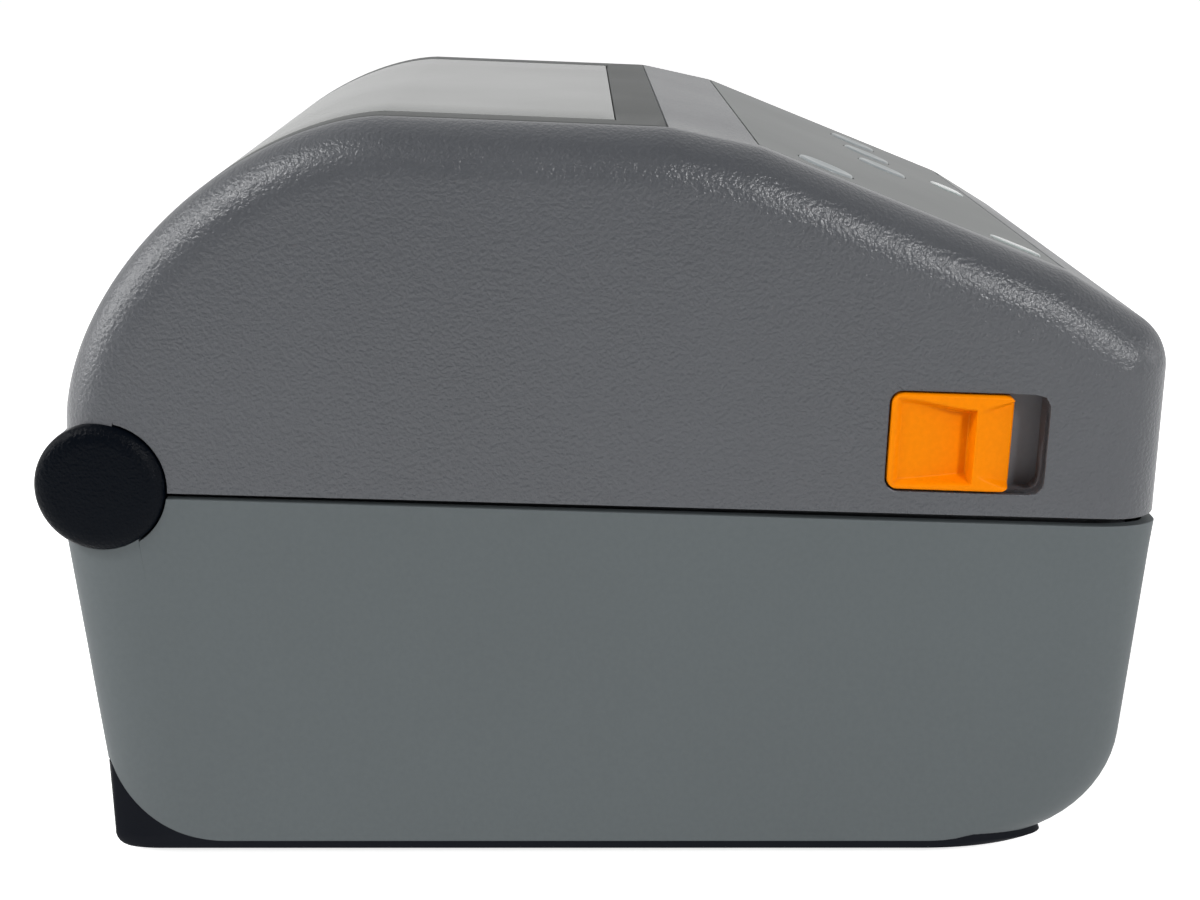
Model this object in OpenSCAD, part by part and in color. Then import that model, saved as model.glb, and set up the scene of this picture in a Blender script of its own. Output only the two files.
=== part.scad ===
// Desktop label printer: hinged cover over a base with a roll bay and a print mechanism.
// X runs across the printer, the labels leave at the front (-Y) and the cover hinges at the rear (+Y).

/* [Casing] */
// Width over the flat side walls
body_w = 174; // [172:1:184]
// Distance from the origin to the front wall of the cover
front_y = 110.7; // [110.2:0.1:113.7]
// Height of the highest line of the cover
top_z = 150.3; // [149:0.5:156]
// Thickness of the moulded walls
wall = 2.5; // [2:0.1:2.8]
// Radius of the soft shoulder round the cover's sides
shoulder_r = 11; // [9:0.5:12]
// Radius of the lower casing's upright corners
corner_r = 16; // [12:1:18]
// Height of the parting line above the middle of the base
seam_z = 74.8; // [74.2:0.2:75.4]
// Gap of the parting line at the middle
seam_gap = 1.3; // [1:0.1:1.6]
// Slope of the parting line down to the front, in degrees
seam_tilt = 1.7; // [1.4:0.1:1.8]
// Draft of the side walls, in degrees
draft = 1.2; // [0.8:0.1:1.5]
// Height of the rubber feet
foot_h = 2; // [1.6:0.2:3]
// Diameter of a rubber foot
foot_d = 14; // [10:1:18]

/* [Hinge] */
// Diameter of the round hinge cap
cap_d = 25.4; // [25:0.1:25.6]
// How far a cap stands out of the side wall
cap_proud = 2; // [1.5:0.1:3]
// Diameter of the hinge pin
hinge_pin_d = 5; // [4:0.5:6]
// Radial play of the hinge pin in the knuckle
hinge_play = 0.06; // [0.04:0.01:0.1]

/* [Window and panel] */
// Width of the clear window
window_w = 135; // [110:1:137]
// Thickness of the window
window_t = 1.6; // [1.2:0.1:1.8]
// Width of the dark strip beside the window
frame_w = 8.4; // [6:0.2:8.6]
// Width of the control panel
panel_w = 144; // [140:1:148]
// Diameter of the round buttons
button_d = 11.6; // [9:0.2:12]
// How far a button stands proud of the panel
button_proud = 0.6; // [0.3:0.1:1]
// Travel of a button
button_travel = 0.8; // [0.4:0.1:0.9]

/* [Roll bay] */
// Widest label that the guides let in
media_w = 111; // [108:0.5:111]
// Diameter of the curved cradle under the roll
cradle_d = 132; // [128:1:133]
// Diameter of the roll core that the hubs hold
core_d = 24; // [20:1:26]
// Gap between the two guides when they are pushed together
guide_gap = 19; // [18:1:20]
// Thickness of a guide
guide_t = 4; // [3:0.5:4.5]
// Teeth of the pinion that ties the guides together
guide_teeth = 20; // [20:1:20]

/* [Print mechanism] */
// Diameter of the rubber roller
platen_d = 16; // [15:0.5:16]
// How far the rubber roller reaches past the widest label at each end
platen_over = 0.5; // [0:0.1:1.5]
// Diameter of the roller's shaft
shaft_d = 6; // [5:0.5:7]
// Gap between the printhead and the roller
nip = 0.4; // [0.3:0.1:0.8]
// Lift of the sprung printhead
head_lift = 1.2; // [0.8:0.1:1.4]
// Tooth size of the feed gears
gear_m = 0.8; // [0.8:0.1:0.8]
// Teeth of the gear on the roller
platen_teeth = 20; // [20:1:20]
// Teeth of the idler gear
idler_teeth = 35; // [35:1:35]
// Teeth of the motor pinion
pinion_teeth = 14; // [14:1:14]
// Width of the feed gears
gear_t = 5; // [4:0.5:5]
// Size of the square stepper motor
motor_a = 42; // [39:1:43]
// Length of the stepper motor
motor_l = 34; // [26:1:40]

/* [Latch] */
// Length of the recess that the latch slides in
recess_l = 31.2; // [31:0.2:34]
// Height of the recess
recess_h = 20; // [19:0.5:21]
// Length of the latch's thumb piece
latch_l = 24.2; // [22:0.2:24.4]
// Travel of the latch
latch_travel = 6; // [5.6:0.1:6.2]
// Thickness of the hook plate
hook_t = 2; // [1.5:0.1:2.2]
// Diameter of the pin that the hook catches
strike_d = 4; // [3:0.5:4.5]

/* [Hidden] */

$fn = 48;
// Sides of a circle inside a hull
hull_fn = 32;
// Small overlap that carries a cut through a face
eps = 0.5;
// Play between two pieces that slide or swing past each other
play = 0.4;
// Play between two pieces that are pushed together
snug = 0.05;
half_w = body_w / 2;

// Rear wall of the cover: a quarter of a squarish ellipse over the top of the hinge
arch_y = 42.5;
arch_z = 90.5;
arch_a = 63.5;
arch_b = top_z - arch_z;
arch_power = 1.71;
arch_steps = 20;
rear_y = arch_y + arch_a;
rear_foot_y = rear_y + 1.2;

// Hinge axis, which runs along X
hinge_y = rear_y - 8;
hinge_z = 79.5;
cap_r = cap_d / 2;
knuckle_r = cap_r - 0.3;
knuckle_in = 67.1;
roll_r = knuckle_r - 1;
roll_end = knuckle_in - 0.5;
roll_disc_t = 4.6;
cap_in = half_w - wall;
knuckle_out = cap_in - 0.4;

// Top, light facet, control panel and nose of the cover
facet_y = -12;
facet_z = top_z - 1.9;
panel_y = -29.8;
panel_z = top_z - 5.7;
panel_end_y = -90.6;
panel_end_z = panel_z - 24;
panel_slope = atan2(panel_z - panel_end_z, panel_y - panel_end_y);
panel_l = norm([panel_y - panel_end_y, panel_z - panel_end_z]);
nose_slope = 31;
nose_r = 11.2;
nose_min_r = 2;
nose_steps = 8;
cover_steps = 8;
cover_inner_steps = 5;
front_foot_y = front_y - 0.9;
skirt_z = 50;

// Lower casing
casing_z = foot_h + 1.6;
base_front_y = front_y - 0.7;
base_front_lean = 4.6;
base_front_r = 24;
base_rear_y = rear_y + 2;
base_rear_lean = 6.3;
base_rear_r = 21;
base_steps = 9;
corner_steps = 7;
corner_inner_steps = 5;
front_wall_z = 72;
rear_wall_z = 77.8;
tray_wall_z = casing_z + 16;
tray_corner_z = casing_z + 13.4;
tray_corner_r = 3;
tray_lip_a = 249;

// Roll bay
tub_half = media_w / 2 + 8.5;
tub_wall = 2;
foot_at_x = half_w - 21;
foot_ys = [-60, 80];
cradle_r = cradle_d / 2;
cradle_t = 2.2;
roll_y = 28;
roll_z = cradle_r + 14;
deck_z = seam_z - 4.4;
deck_t = 2.4;
deck_front_y = -77;
trough_front_y = -98.5;
trough_z = deck_z - 15.4;
rim_gap = 0.9;
rim_t = 1.6;
rim_h = 2.4;
cheek_top = deck_z + 2.6;
bay_rear_y = 82;
guide_slot_w = 12;
column_x = half_w - 10;
column_d = 8;
column_ys = [-30, 60];
bore_r = 1.25;

// Guide mechanism under the cradle
guide_m = 1;
guide_pinion_r = guide_m * guide_teeth / 2;
guide_travel = (media_w - guide_gap) / 2;
rack_z = casing_z + 3;
rack_t = 3.2;
rack_w = 4;
foot_x = guide_gap / 2 + 2.6;
foot_w = 3.5;
arm_r = 24;

// Print mechanism
platen_l = media_w + 2 * platen_over;
platen_r = platen_d / 2;
platen_y = -86;
platen_z = deck_z + 3.6 - platen_r;
bush_r = 6;
cheek_in = tub_half - 4;
plate_t = 2;
plate_x = tub_half + plate_t;
gear_x = plate_x + 1;
feed_angle = -54.8;
platen_pitch = gear_m * platen_teeth / 2;
idler_pitch = gear_m * idler_teeth / 2;
pinion_pitch = gear_m * pinion_teeth / 2;
idler_y = platen_y + (platen_pitch + idler_pitch) * cos(feed_angle);
idler_z = platen_z + (platen_pitch + idler_pitch) * sin(feed_angle);
motor_y = idler_y + (idler_pitch + pinion_pitch) * cos(feed_angle);
motor_z = idler_z + (idler_pitch + pinion_pitch) * sin(feed_angle);
motor_shaft_d = 5;
post_d = 4;
axle_play = 0.06;

// Printhead in the cover
head_half = platen_l / 2 + 1.4;
strip_z = platen_z + platen_r + nip;
strip_t = 1.8;
sink_z = strip_z + strip_t;
sink_h = 12.4;
carrier_z = sink_z + sink_h;
carrier_t = 2;
frame_z = 98;
frame_t = 2.4;
frame_front_y = -103.5;
frame_rear_y = -40;
skirt_in = head_half + 3.1;
skirt_t = 2;
skirt_low_z = frame_z - 20;
skirt_rear_y = -58;
boss_d = 7;
boss_x = skirt_in + skirt_t + boss_d / 2;
rear_boss_x = 40;
boss_at = [[-boss_x, -94], [boss_x, -94], [-rear_boss_x, -46], [rear_boss_x, -46]];
spring_x = 32;
pivot_w = 4.8;
pivot_z = 82;
pivot_h = 6;
sensor_y = -60;
sensor_z = 76;

// Latch, whose frame follows the parting line
latch_y = -70.4;
latch_z = 88.8;
recess_r = 2.5;
pad_x = half_w - 4;
pan_wall = 1.2;
pan_floor_x = half_w - 9;
frame_half = pan_floor_x - play;
paddle_x = half_w - 7.6;
hook_x = half_w - 11.7;
latch_rest = recess_l / 2 - latch_l - play;
shank_y = latch_y + 5;
shank_w = 6;
shank_top = 93;
stem_w = 6;
stem_y = shank_y - shank_w - latch_y;
hook_z = 60;
hook_h = 3.6;
strike_y = -58;
strike_z = hook_z + hook_h + 0.3 + strike_d / 2;

// Connectors at the rear
port_half = 60;
port_top = 44;
board_z = casing_z + 5;
board_t = 1.6;
board_front_y = 46;
board_hole_x = tub_half - 8;
board_hole_ys = [board_front_y + 5, 88];
port_plate_y = 95;
port_plate_t = 2;
inlet_x = 24 - tub_half;
usb_x = -8;
network_x = 26;

// Points of an arc about c, from angle a to angle b in n steps
function arc(c, r, a, b, n) = [
  for (i = [0:n]) let (t = a + (b - a) * i / n) c + r * [cos(t), sin(t)]
];
// Unit vector along v
function unit(v) = v / norm(v);
// Outward side of a direction on an outline that runs anticlockwise
function side(v) = [v[1], -v[0]];
// Outline p moved inwards by d, with mitred corners
function inset(p, d) = let (n = len(p)) [
  for (i = [0:n - 1])
    let (u = unit(p[i] - p[(i + n - 1) % n]), v = unit(p[(i + 1) % n] - p[i]))
      p[i] - d / (1 + u * v) * (side(u) + side(v))
];
// Rectangle l by w about the origin with rounded corners, as an outline
function rounded(l, w, r, n = 4) = [
  for (k = [0:3])
    let (sx = (k == 0 || k == 3) ? 1 : -1, sy = k < 2 ? 1 : -1)
      each arc([sx * (l / 2 - r), sy * (w / 2 - r)], r, 90 * k, 90 * (k + 1), n)
];

// Height of the parting line on the lower casing and on the cover at depth y
function base_seam(y) = seam_z + y * tan(seam_tilt);
function cover_seam(y) = base_seam(y) + seam_gap - y * tan(0.19);

// Arc of radius r in the corner at p between the points a and b, in n steps
function fillet(a, p, b, r, n) = let (
  u = unit(a - p),
  v = unit(b - p),
  half = acos(u * v) / 2,
  c = p + unit(u + v) * r / sin(half),
  s0 = p + u * r / tan(half) - c,
  s1 = p + v * r / tan(half) - c
) [for (i = [0:n]) let (t = i / n, w = unit(s0 * (1 - t) + s1 * t)) c + r * w];

// Side outline of the cover, with a sharp nose, carried on below the parting line
nose_z = panel_end_z - (front_y + panel_end_y) * tan(nose_slope);
cover_profile = concat(
  [[-front_foot_y, skirt_z], [rear_foot_y, skirt_z]],
  [for (i = [0:arch_steps]) let (t = 90 * i / arch_steps)
    [arch_y + arch_a * pow(cos(t), 2 / arch_power), arch_z + arch_b * pow(sin(t), 2 / arch_power)]],
  [[facet_y, facet_z], [panel_y, panel_z], [panel_end_y, panel_end_z], [-front_y, nose_z]]
);

// The same outline moved inwards by d, with its nose rounded
function cover_outline(d) = let (p = inset(cover_profile, d), n = len(p)) concat(
  [for (i = [0:n - 2]) p[i]],
  fillet(p[n - 2], p[n - 1], p[0], max(nose_r - d, nose_min_r), nose_steps)
);

// Depth, at height z, of an end wall that stands at y_top at height z_top and leans in below
function wall_y(y_top, z_top, lean, z) = y_top - (z_top - z) * tan(lean);
// Centre of the round under the front or rear wall, for ends drawn in by e and a bottom raised by b
function base_front_centre(e, b) = let (r = base_front_r - b, z = casing_z + b + r)
  [-wall_y(base_front_y - e, front_wall_z, base_front_lean, z) + r / cos(base_front_lean), z];
function base_rear_centre(e, b) = let (r = base_rear_r - b, z = casing_z + b + r)
  [wall_y(base_rear_y - e, rear_wall_z, base_rear_lean, z) - r / cos(base_rear_lean), z];

// Side outline of the lower casing, with its top edge raised by t above the parting line
function base_outline(e, b, t = 0) = let (ft = e - base_front_y, rt = base_rear_y - e) concat(
  arc(base_front_centre(e, b), base_front_r - b, 180 + base_front_lean, 270, base_steps),
  arc(base_rear_centre(e, b), base_rear_r - b, 270, 360 - base_rear_lean, base_steps),
  [[rt, base_seam(rt) + t], [ft, base_seam(ft) + t]]
);

// Extrusion along X of an outline drawn in depth and height
module along_x(x0, x1) {
  translate([x0, 0, 0]) rotate([90, 0, 90]) linear_extrude(x1 - x0) children();
}

// The same on both sides of the printer
module both() {
  children();
  mirror([1, 0, 0]) children();
}

// Round bar along X, from x0 to x1, about depth y and height z
module bar_x(r, x0, x1, y, z) {
  translate([x0, y, z]) rotate([0, 90, 0]) cylinder(r = r, h = x1 - x0);
}

// Round bar with a hole through it
module tube_x(r, bore, x0, x1, y, z) {
  difference() {
    bar_x(r, x0, x1, y, z);
    bar_x(bore, x0 - eps, x1 + eps, y, z);
  }
}

// Solid through rings of points, which run anticlockwise as seen from the last ring
module loft(rings) {
  n = len(rings[0]);
  last = len(rings) - 1;
  polyhedron(
    points = [for (ring = rings) each ring],
    faces = concat(
      [[for (i = [0:n - 1]) i]],
      [for (k = [0:last - 1]) for (i = [0:n - 1])
        let (a = k * n + i, b = k * n + (i + 1) % n)
          each [[a, a + n, b + n], [a, b + n, b]]],
      [[for (i = [n - 1:-1:0]) last * n + i]]
    )
  );
}

// Ring at distance x from the middle plane, on side s, where the wall leans by lean per unit of height
function ring(s, x, lean, p) = [for (q = p) [s * (x + lean * (q[1] - seam_z)), q[0], q[1]]];
// Turns from the left side over the middle to the right side: side and angle of each ring
function turns(steps) = concat(
  [for (i = [steps:-1:0]) [-1, 90 * i / steps]],
  [for (i = [0:steps]) [1, 90 * i / steps]]
);

// The cover's body, its walls drawn in by off: a quarter round of the shoulder radius leads into each side wall
module cover_body(off, steps) {
  r = shoulder_r - off;
  loft([for (t = turns(steps)) ring(
    t[0],
    half_w - off - r * (1 - sin(t[1])),
    -tan(draft) * sin(t[1]),
    cover_outline(off + r * (1 - cos(t[1])))
  )]);
}

// The lower casing's body: a quarter round in plan at each corner, and an open top where off isn't 0
module base_body(off, steps) {
  r = corner_r - off;
  loft([for (t = turns(steps)) ring(
    t[0],
    half_w - off - r * (1 - sin(t[1])),
    tan(draft) * sin(t[1]),
    base_outline(off + r * (1 - cos(t[1])), off, off)
  )]);
}

// Everything below the cover's parting line
module below_seam() {
  along_x(-half_w - eps, half_w + eps) polygon([
    [-front_y - 5, cover_seam(-front_y - 5)], [-front_y - 5, 0],
    [rear_foot_y + 5, 0], [rear_foot_y + 5, cover_seam(rear_foot_y + 5)]
  ]);
}

// Band of the cover's skin between two depths, from depth y0 to y1 behind the front
module skin_band(d0, d1, half, y0, y1, z0) {
  intersection() {
    along_x(-half, half) difference() {
      polygon(cover_outline(d0));
      polygon(cover_outline(d1));
    }
    translate([-half - eps, y0, z0]) cube([2 * half + 2 * eps, y1 - y0, top_z - z0 + 5]);
  }
}

// Frame of the control panel: origin on its rear edge, -Y down the slope, +Z out of the surface
module on_panel() {
  translate([0, panel_y, panel_z]) rotate([panel_slope, 0, 0]) children();
}

// Frame of the latch recess in the side wall
module at_latch() {
  translate([0, latch_y, latch_z]) rotate([seam_tilt, 0, 0]) children();
}

// Involute spur gear outline: tooth size m, n teeth, one tooth centred on angle phase
function involute(rb, a) = rb * [cos(a) + a * PI / 180 * sin(a), sin(a) - a * PI / 180 * cos(a)];
function spin(p, a) = [p[0] * cos(a) - p[1] * sin(a), p[0] * sin(a) + p[1] * cos(a)];
function roll_at(rb, r) = sqrt(max(0, r * r / (rb * rb) - 1)) * 180 / PI;
gear_slack = 0.16;
flank_steps = 4;
function gear_outline(m, n, phase) = let (
  rp = m * n / 2,
  rb = rp * cos(20),
  ro = rp + m,
  rr = rp - 1.25 * m,
  at = roll_at(rb, rp),
  flank_p = involute(rb, at),
  half = 90 / n - gear_slack / rp * 90 / PI + atan2(flank_p[1], flank_p[0]),
  start = max(rb, rr)
) [
  for (k = [0:n - 1]) let (c = phase + 360 * k / n)
    each concat(
      rb > rr ? [spin([rr, 0], c - half)] : [],
      [for (i = [0:flank_steps]) let (q = involute(rb, roll_at(rb, start + (ro - start) * i / flank_steps)))
        spin(q, c - half)],
 
          [for (i = [flank_steps:-1:0]) let (q = involute(rb, roll_at(rb, start + (ro - start) * i / flank_steps)))
        spin([q[0], -q[1]], c + half)],
      rb > rr ? [spin([rr, 0], c + half)] : []
    )
];
// Phase that meshes gear 2 (pitch radius r2) with gear 1 (r1, tooth at a1) along direction d
function mesh_phase(m, r1, a1, r2, d) = d + 180 - (r1 * (a1 - d) * PI / 180 + m * PI / 2) / r2 * 180 / PI;

idler_phase = mesh_phase(gear_m, platen_pitch, feed_angle, idler_pitch, feed_angle);
pinion_phase = mesh_phase(gear_m, idler_pitch, idler_phase, pinion_pitch, feed_angle);

module feed_gear(teeth, phase, y, z, bore, hub_r) {
  difference() {
    union() {
      translate([0, y, z]) along_x(-gear_x - gear_t, -gear_x) polygon(gear_outline(gear_m, teeth, phase));
      bar_x(hub_r, -gear_x - gear_t, -gear_x + 0.6, y, z);
    }
    bar_x(bore, -gear_x - gear_t - eps, -gear_x + 2 * eps, y, z);
  }
}

// Base
module base_tray() {
  inner_x = half_w - tan(draft) * (seam_z - casing_z) - wall - 0.3;
  rear = wall_y(base_rear_y, rear_wall_z, base_rear_lean, tray_wall_z) - 2;
  front = -base_front_y + 30.3;
  color("#202226") difference() {
    union() {
      tray_sole(inner_x - wall, rear - wall);
      intersection() {
        tray_body(tray_wall_z);
        union() {
          translate([-inner_x, front, foot_h]) cube([2 * inner_x, rear - front, casing_z - foot_h]);
          translate([-inner_x, rear - wall, foot_h]) cube([2 * inner_x, 20, tray_wall_z - foot_h]);
          both() difference() {
            translate([inner_x - wall, -76, foot_h]) cube([wall, rear + 76, tray_wall_z - foot_h]);
            for (y = column_ys) translate([inner_x - wall - eps, y - column_d / 2 - play, casing_z])
              cube([wall + 2 * eps, column_d + 2 * play, 40]);
          }
        }
      }
      for (x = [-board_hole_x, board_hole_x]) for (y = board_hole_ys)
        translate([x, y, foot_h + eps]) cylinder(d = 6, h = board_z - foot_h - eps);
      for (y = [roll_y - guide_pinion_r - rack_w + 1, roll_y + guide_pinion_r + rack_w - 3])
        translate([-tub_half, y, foot_h + eps]) cube([2 * tub_half, 2, rack_z - foot_h - eps - 0.2]);
      translate([0, roll_y, foot_h + eps]) cylinder(d = 8, h = rack_z - foot_h - eps - 0.2);
      translate([0, roll_y, foot_h + eps]) cylinder(d = post_d, h = rack_z + rack_t + 0.8 - foot_h - eps);
      translate([-tub_half - plate_t, motor_y - 8, foot_h + eps])
        cube([6, 16, motor_z - motor_a / 2 - foot_h - eps]);
    }
    translate([-port_half, rear - wall - eps, board_z - 1]) cube([2 * port_half, 12, 40]);
    for (x = [-column_x, column_x]) for (y = column_ys) {
      translate([x, y, foot_h - eps]) cylinder(d = 6.6, h = 1 + eps);
      translate([x, y, foot_h - eps]) cylinder(r = 1.6, h = 4);
    }
    vent_slots();
  }
}

// Side outline of the tray: flush with the casing's ends, with a square rear corner and a lip that follows the
// casing's rounded front corner
function tray_outline(e, top) = let (
  c = base_front_centre(e, 0),
  r = base_front_r + casing_z - foot_h,
  y = wall_y(base_rear_y - e, rear_wall_z, base_rear_lean, foot_h + tray_corner_r) - tray_corner_r
) concat(
  [[c[0] + (r - 5) * cos(tray_lip_a), c[1] + (r - 5) * sin(tray_lip_a)]],
  arc(c, r, tray_lip_a, 270, 4),
  arc([y, foot_h + tray_corner_r], tray_corner_r, 270, 360 - base_rear_lean, 4),
  [[wall_y(base_rear_y - e, rear_wall_z, base_rear_lean, top), top], [c[0], top]]
);

// The tray's body up to the given height, with the casing's round corners in plan
module tray_body(top) {
  loft([for (t = turns(corner_steps)) ring(
    t[0],
    half_w - corner_r * (1 - sin(t[1])),
    tan(draft) * sin(t[1]),
    tray_outline(corner_r * (1 - cos(t[1])), top)
  )]);
}

// What shows of the tray round the casing: the sole, the front lip and the black lower rear corners
module tray_sole(inner, y) {
  difference() {
    tray_body(tray_corner_z);
    base_body(-snug, corner_steps);
    translate([-inner, 0, casing_z]) cube([2 * inner, y, tray_corner_z]);
  }
}

// Rows of vent slots in the floor of the tray
module vent_slots() {
  for (x = [-48:6:48]) translate([x - 1.2, 62, foot_h - eps]) cube([2.4, 16, 1.6 + 2 * eps]);
}

module lower_casing() {
  under = deck_z - deck_t;
  color("#65686c") difference() {
    union() {
      difference() {
        casing_wall();
        both() hinge_scoop();
      }
      hinge_roll();
      for (y = column_ys) both() casing_column(y, under);
    }
    for (x = [-column_x, column_x]) for (y = column_ys) {
      translate([x, y, casing_z - eps]) cylinder(r = bore_r, h = 14);
      translate([x, y, under - 12]) cylinder(r = bore_r, h = 12 + eps);
    }
    both() bar_x(hinge_pin_d / 2, roll_end - roll_disc_t - eps, roll_end + eps, hinge_y, hinge_z);
  }
}

// Moulded wall of the lower casing with its openings underneath, at the rear and under the label exit
module casing_wall() {
  difference() {
    difference() {
      base_body(0, corner_steps);
      base_body(wall, corner_inner_steps);
      floor_opening();
      rear_foot_opening();
    }
    translate([-port_half, base_rear_y - 20, tray_wall_z - eps])
      cube([2 * port_half, 30, port_top - tray_wall_z + eps]);
    bezel_opening();
  }
}

// Space round the cover's barrel and, in the side wall, round the hinge cap
module hinge_scoop() {
  bar_x(knuckle_r + 2 * play, roll_end + play, cap_in + 0.1, hinge_y, hinge_z);
  bar_x(cap_r + 0.3, cap_in + 0.1, half_w + 5, hinge_y, hinge_z);
}

// Screw column under the ledge, with a rib to the side wall
module casing_column(y, top) {
  rib = half_w - column_x - tan(draft) * (seam_z - casing_z) - wall + 1;
  translate([column_x, y, casing_z]) cylinder(d = column_d, h = top - casing_z);
  translate([column_x, y - 1, tray_wall_z + 2]) cube([rib, 2, top - tray_wall_z - 6]);
}

// Opening in the underside of the casing, between the two rounded ends
module floor_opening() {
  inner = half_w - tan(draft) * (seam_z - casing_z) - wall;
  translate([-inner, -base_front_y + 30, casing_z - eps])
    cube([2 * inner, 2 * base_front_y - 60, wall + 2 * eps]);
}

// Space for the tray's rear wall, between the two side walls
module rear_foot_opening() {
  inner = half_w - tan(draft) * (seam_z - casing_z) - wall;
  translate([-inner, base_front_y - 40, casing_z - eps])
    cube([2 * inner, 50, tray_wall_z - casing_z + 0.2 + eps]);
}

// Opening for the bezel under the label exit
module bezel_opening() {
  translate([-port_half, -base_front_y - 5, 60]) cube([2 * port_half, 14, 20]);
}

// Rounded rear edge that the cover's rear wall rolls over, with an end disc for each hinge pin
module hinge_roll() {
  difference() {
    bar_x(roll_r, -roll_end, roll_end, hinge_y, hinge_z);
    bar_x(roll_r - wall, -roll_end + roll_disc_t, roll_end - roll_disc_t, hinge_y, hinge_z);
    along_x(-roll_end + roll_disc_t, roll_end - roll_disc_t) polygon([
      [hinge_y, hinge_z], [hinge_y + 6.5, hinge_z + 20], [hinge_y - 20, hinge_z + 20],
      [hinge_y - 20, hinge_z - 20], [hinge_y + 6.5, hinge_z - 20]
    ]);
  }
}

module media_tub() {
  under = deck_z - deck_t;
  color("#2a2c30") difference() {
    union() {
      along_x(-tub_half, tub_half) tub_section();
      both() along_x(tub_half - tub_wall, tub_half) end_wall();
      both() along_x(cheek_in, tub_half) polygon([
        [trough_front_y, trough_z], [deck_front_y + 2, trough_z], [deck_front_y + 2, cheek_top],
        [trough_front_y, cheek_top]
      ]);
      flange();
      tub_rim();
    }
    translate([-tub_half + tub_wall, roll_y - guide_slot_w / 2, roll_z - cradle_r - 6])
      cube([2 * (tub_half - tub_wall), guide_slot_w, 12]);
    translate([-media_w / 2 + 1, -56, deck_z - 4.2]) cube([media_w - 2, 10, 5]);
    both() bush_seat();
    for (x = [-column_x, column_x]) for (y = column_ys)
      translate([x, y, under - eps]) cylinder(r = 1.6, h = deck_t + 2 * eps);
  }
}

// End of the bay: it closes the cradle and runs on under the deck
module end_wall() {
  under = deck_z - deck_t;
  intersection() {
    translate([roll_y, roll_z]) circle(r = cradle_r + cradle_t - 0.1, $fn = 96);
    translate([-60, 0]) square([60 + bay_rear_y, deck_z]);
  }
  polygon([[deck_front_y + 1, under - 8], [-36, under - 8], [-30, deck_z], [deck_front_y + 1, deck_z]]);
}

// Side section of the tub: cradle arc, deck, sensor channel and the trough under the roller
module tub_section() {
  under = deck_z - deck_t;
  channel = deck_z - 6.2;
  front_a = 180 + asin((roll_z - deck_z) / cradle_r);
  rear_a = 360 - acos((bay_rear_y - roll_y) / cradle_r);
  polygon(concat(
    arc([roll_y, roll_z], cradle_r, front_a, rear_a, 36),
    [[bay_rear_y, deck_z - 14], [bay_rear_y + cradle_t, deck_z - 14]],
    [for (p = arc([roll_y, roll_z], cradle_r + cradle_t, rear_a, front_a, 36)) if (p[1] < under - 1) p],
    [[-44, under], [-44, channel], [-58, channel], [-58, under], [deck_front_y + 2, under],
      [deck_front_y + 2, trough_z], [trough_front_y, trough_z], [trough_front_y, deck_z],
      [trough_front_y + 2, deck_z], [trough_front_y + 2, trough_z + 2],
      [deck_front_y, trough_z + 2], [deck_front_y, deck_z]]
  ));
}

// Plan of the tub inside the casing, drawn in by d, with round front corners
function tub_plan(d) = let (
  x = half_w - wall - rim_gap - d,
  y = -front_y + wall + rim_gap + 1 + d,
  r = corner_r - wall - rim_gap - d
) concat(
  arc([-x + r, y + r], r, 180, 270, 5),
  arc([x - r, y + r], r, 270, 360, 5),
  [[x, bay_rear_y], [-x, bay_rear_y]]
);

// Ledge beside the bay, with slots for the hooks and the gear
module flange() {
  difference() {
    translate([0, 0, deck_z - deck_t]) linear_extrude(deck_t) polygon(tub_plan(0));
    translate([-tub_half + tub_wall, trough_front_y, deck_z - deck_t - eps])
      cube([2 * (tub_half - tub_wall), bay_rear_y - trough_front_y + eps, deck_t + 2 * eps]);
    translate([-port_half - play, -front_y, deck_z - deck_t - eps])
      cube([2 * (port_half + play), front_y + trough_front_y + eps, deck_t + 2 * eps]);
    both() translate([hook_x - play, shank_y - shank_w - latch_travel - 2.6, deck_z - deck_t - eps])
      cube([hook_t + 2 * play, 27, deck_t + 2 * eps]);
    translate([-gear_x - gear_t - 1.6, platen_y - platen_pitch - 2.4, deck_z - deck_t - eps])
      cube([gear_t + 1.6 + gear_x - tub_half + eps, 2 * platen_pitch + 4.8, deck_t + 2 * eps]);
  }
}

// Rim on the ledge, which stands up behind the parting line and keeps dust and light out
module tub_rim() {
  intersection() {
    translate([0, 0, deck_z - eps]) linear_extrude(20) difference() {
      polygon(tub_plan(0));
      polygon(tub_plan(rim_t));
      translate([-port_half - play, -front_y]) square([2 * (port_half + play), 2 * front_y]);
      translate([-half_w + wall + rim_gap + rim_t + eps, -front_y / 2])
        square([body_w - 2 * (wall + rim_gap + rim_t + eps), 2 * front_y]);
    }
    along_x(-half_w, half_w) polygon([
      [-front_y, 0], [rear_y, 0], [rear_y, base_seam(rear_y) + rim_h], [-front_y, base_seam(-front_y) + rim_h]
    ]);
  }
}

// Open seat for a bush, so that the roller lifts out
module bush_seat() {
  bar_x(bush_r + snug, cheek_in - eps, tub_half + 1, platen_y, platen_z);
  translate([cheek_in - eps, platen_y - bush_r - snug, platen_z])
    cube([tub_half - cheek_in + 2 * eps, 2 * (bush_r + snug), 20]);
}

module front_bezel() {
  y0 = -wall_y(base_front_y, front_wall_z, base_front_lean, 60);
  top = base_seam(-front_y) - 0.1;
  y1 = -wall_y(base_front_y, front_wall_z, base_front_lean, top);
  color("#3a3d42") along_x(-port_half + snug, port_half - snug) polygon([
    [y0, 60 + snug], [y0 + wall, 60 + snug], [y1 + wall, top - wall], [trough_front_y - snug, deck_z - wall],
    [trough_front_y - snug, deck_z], [y1 + 3, top], [y1, top - 1.2]
  ]);
}

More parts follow.
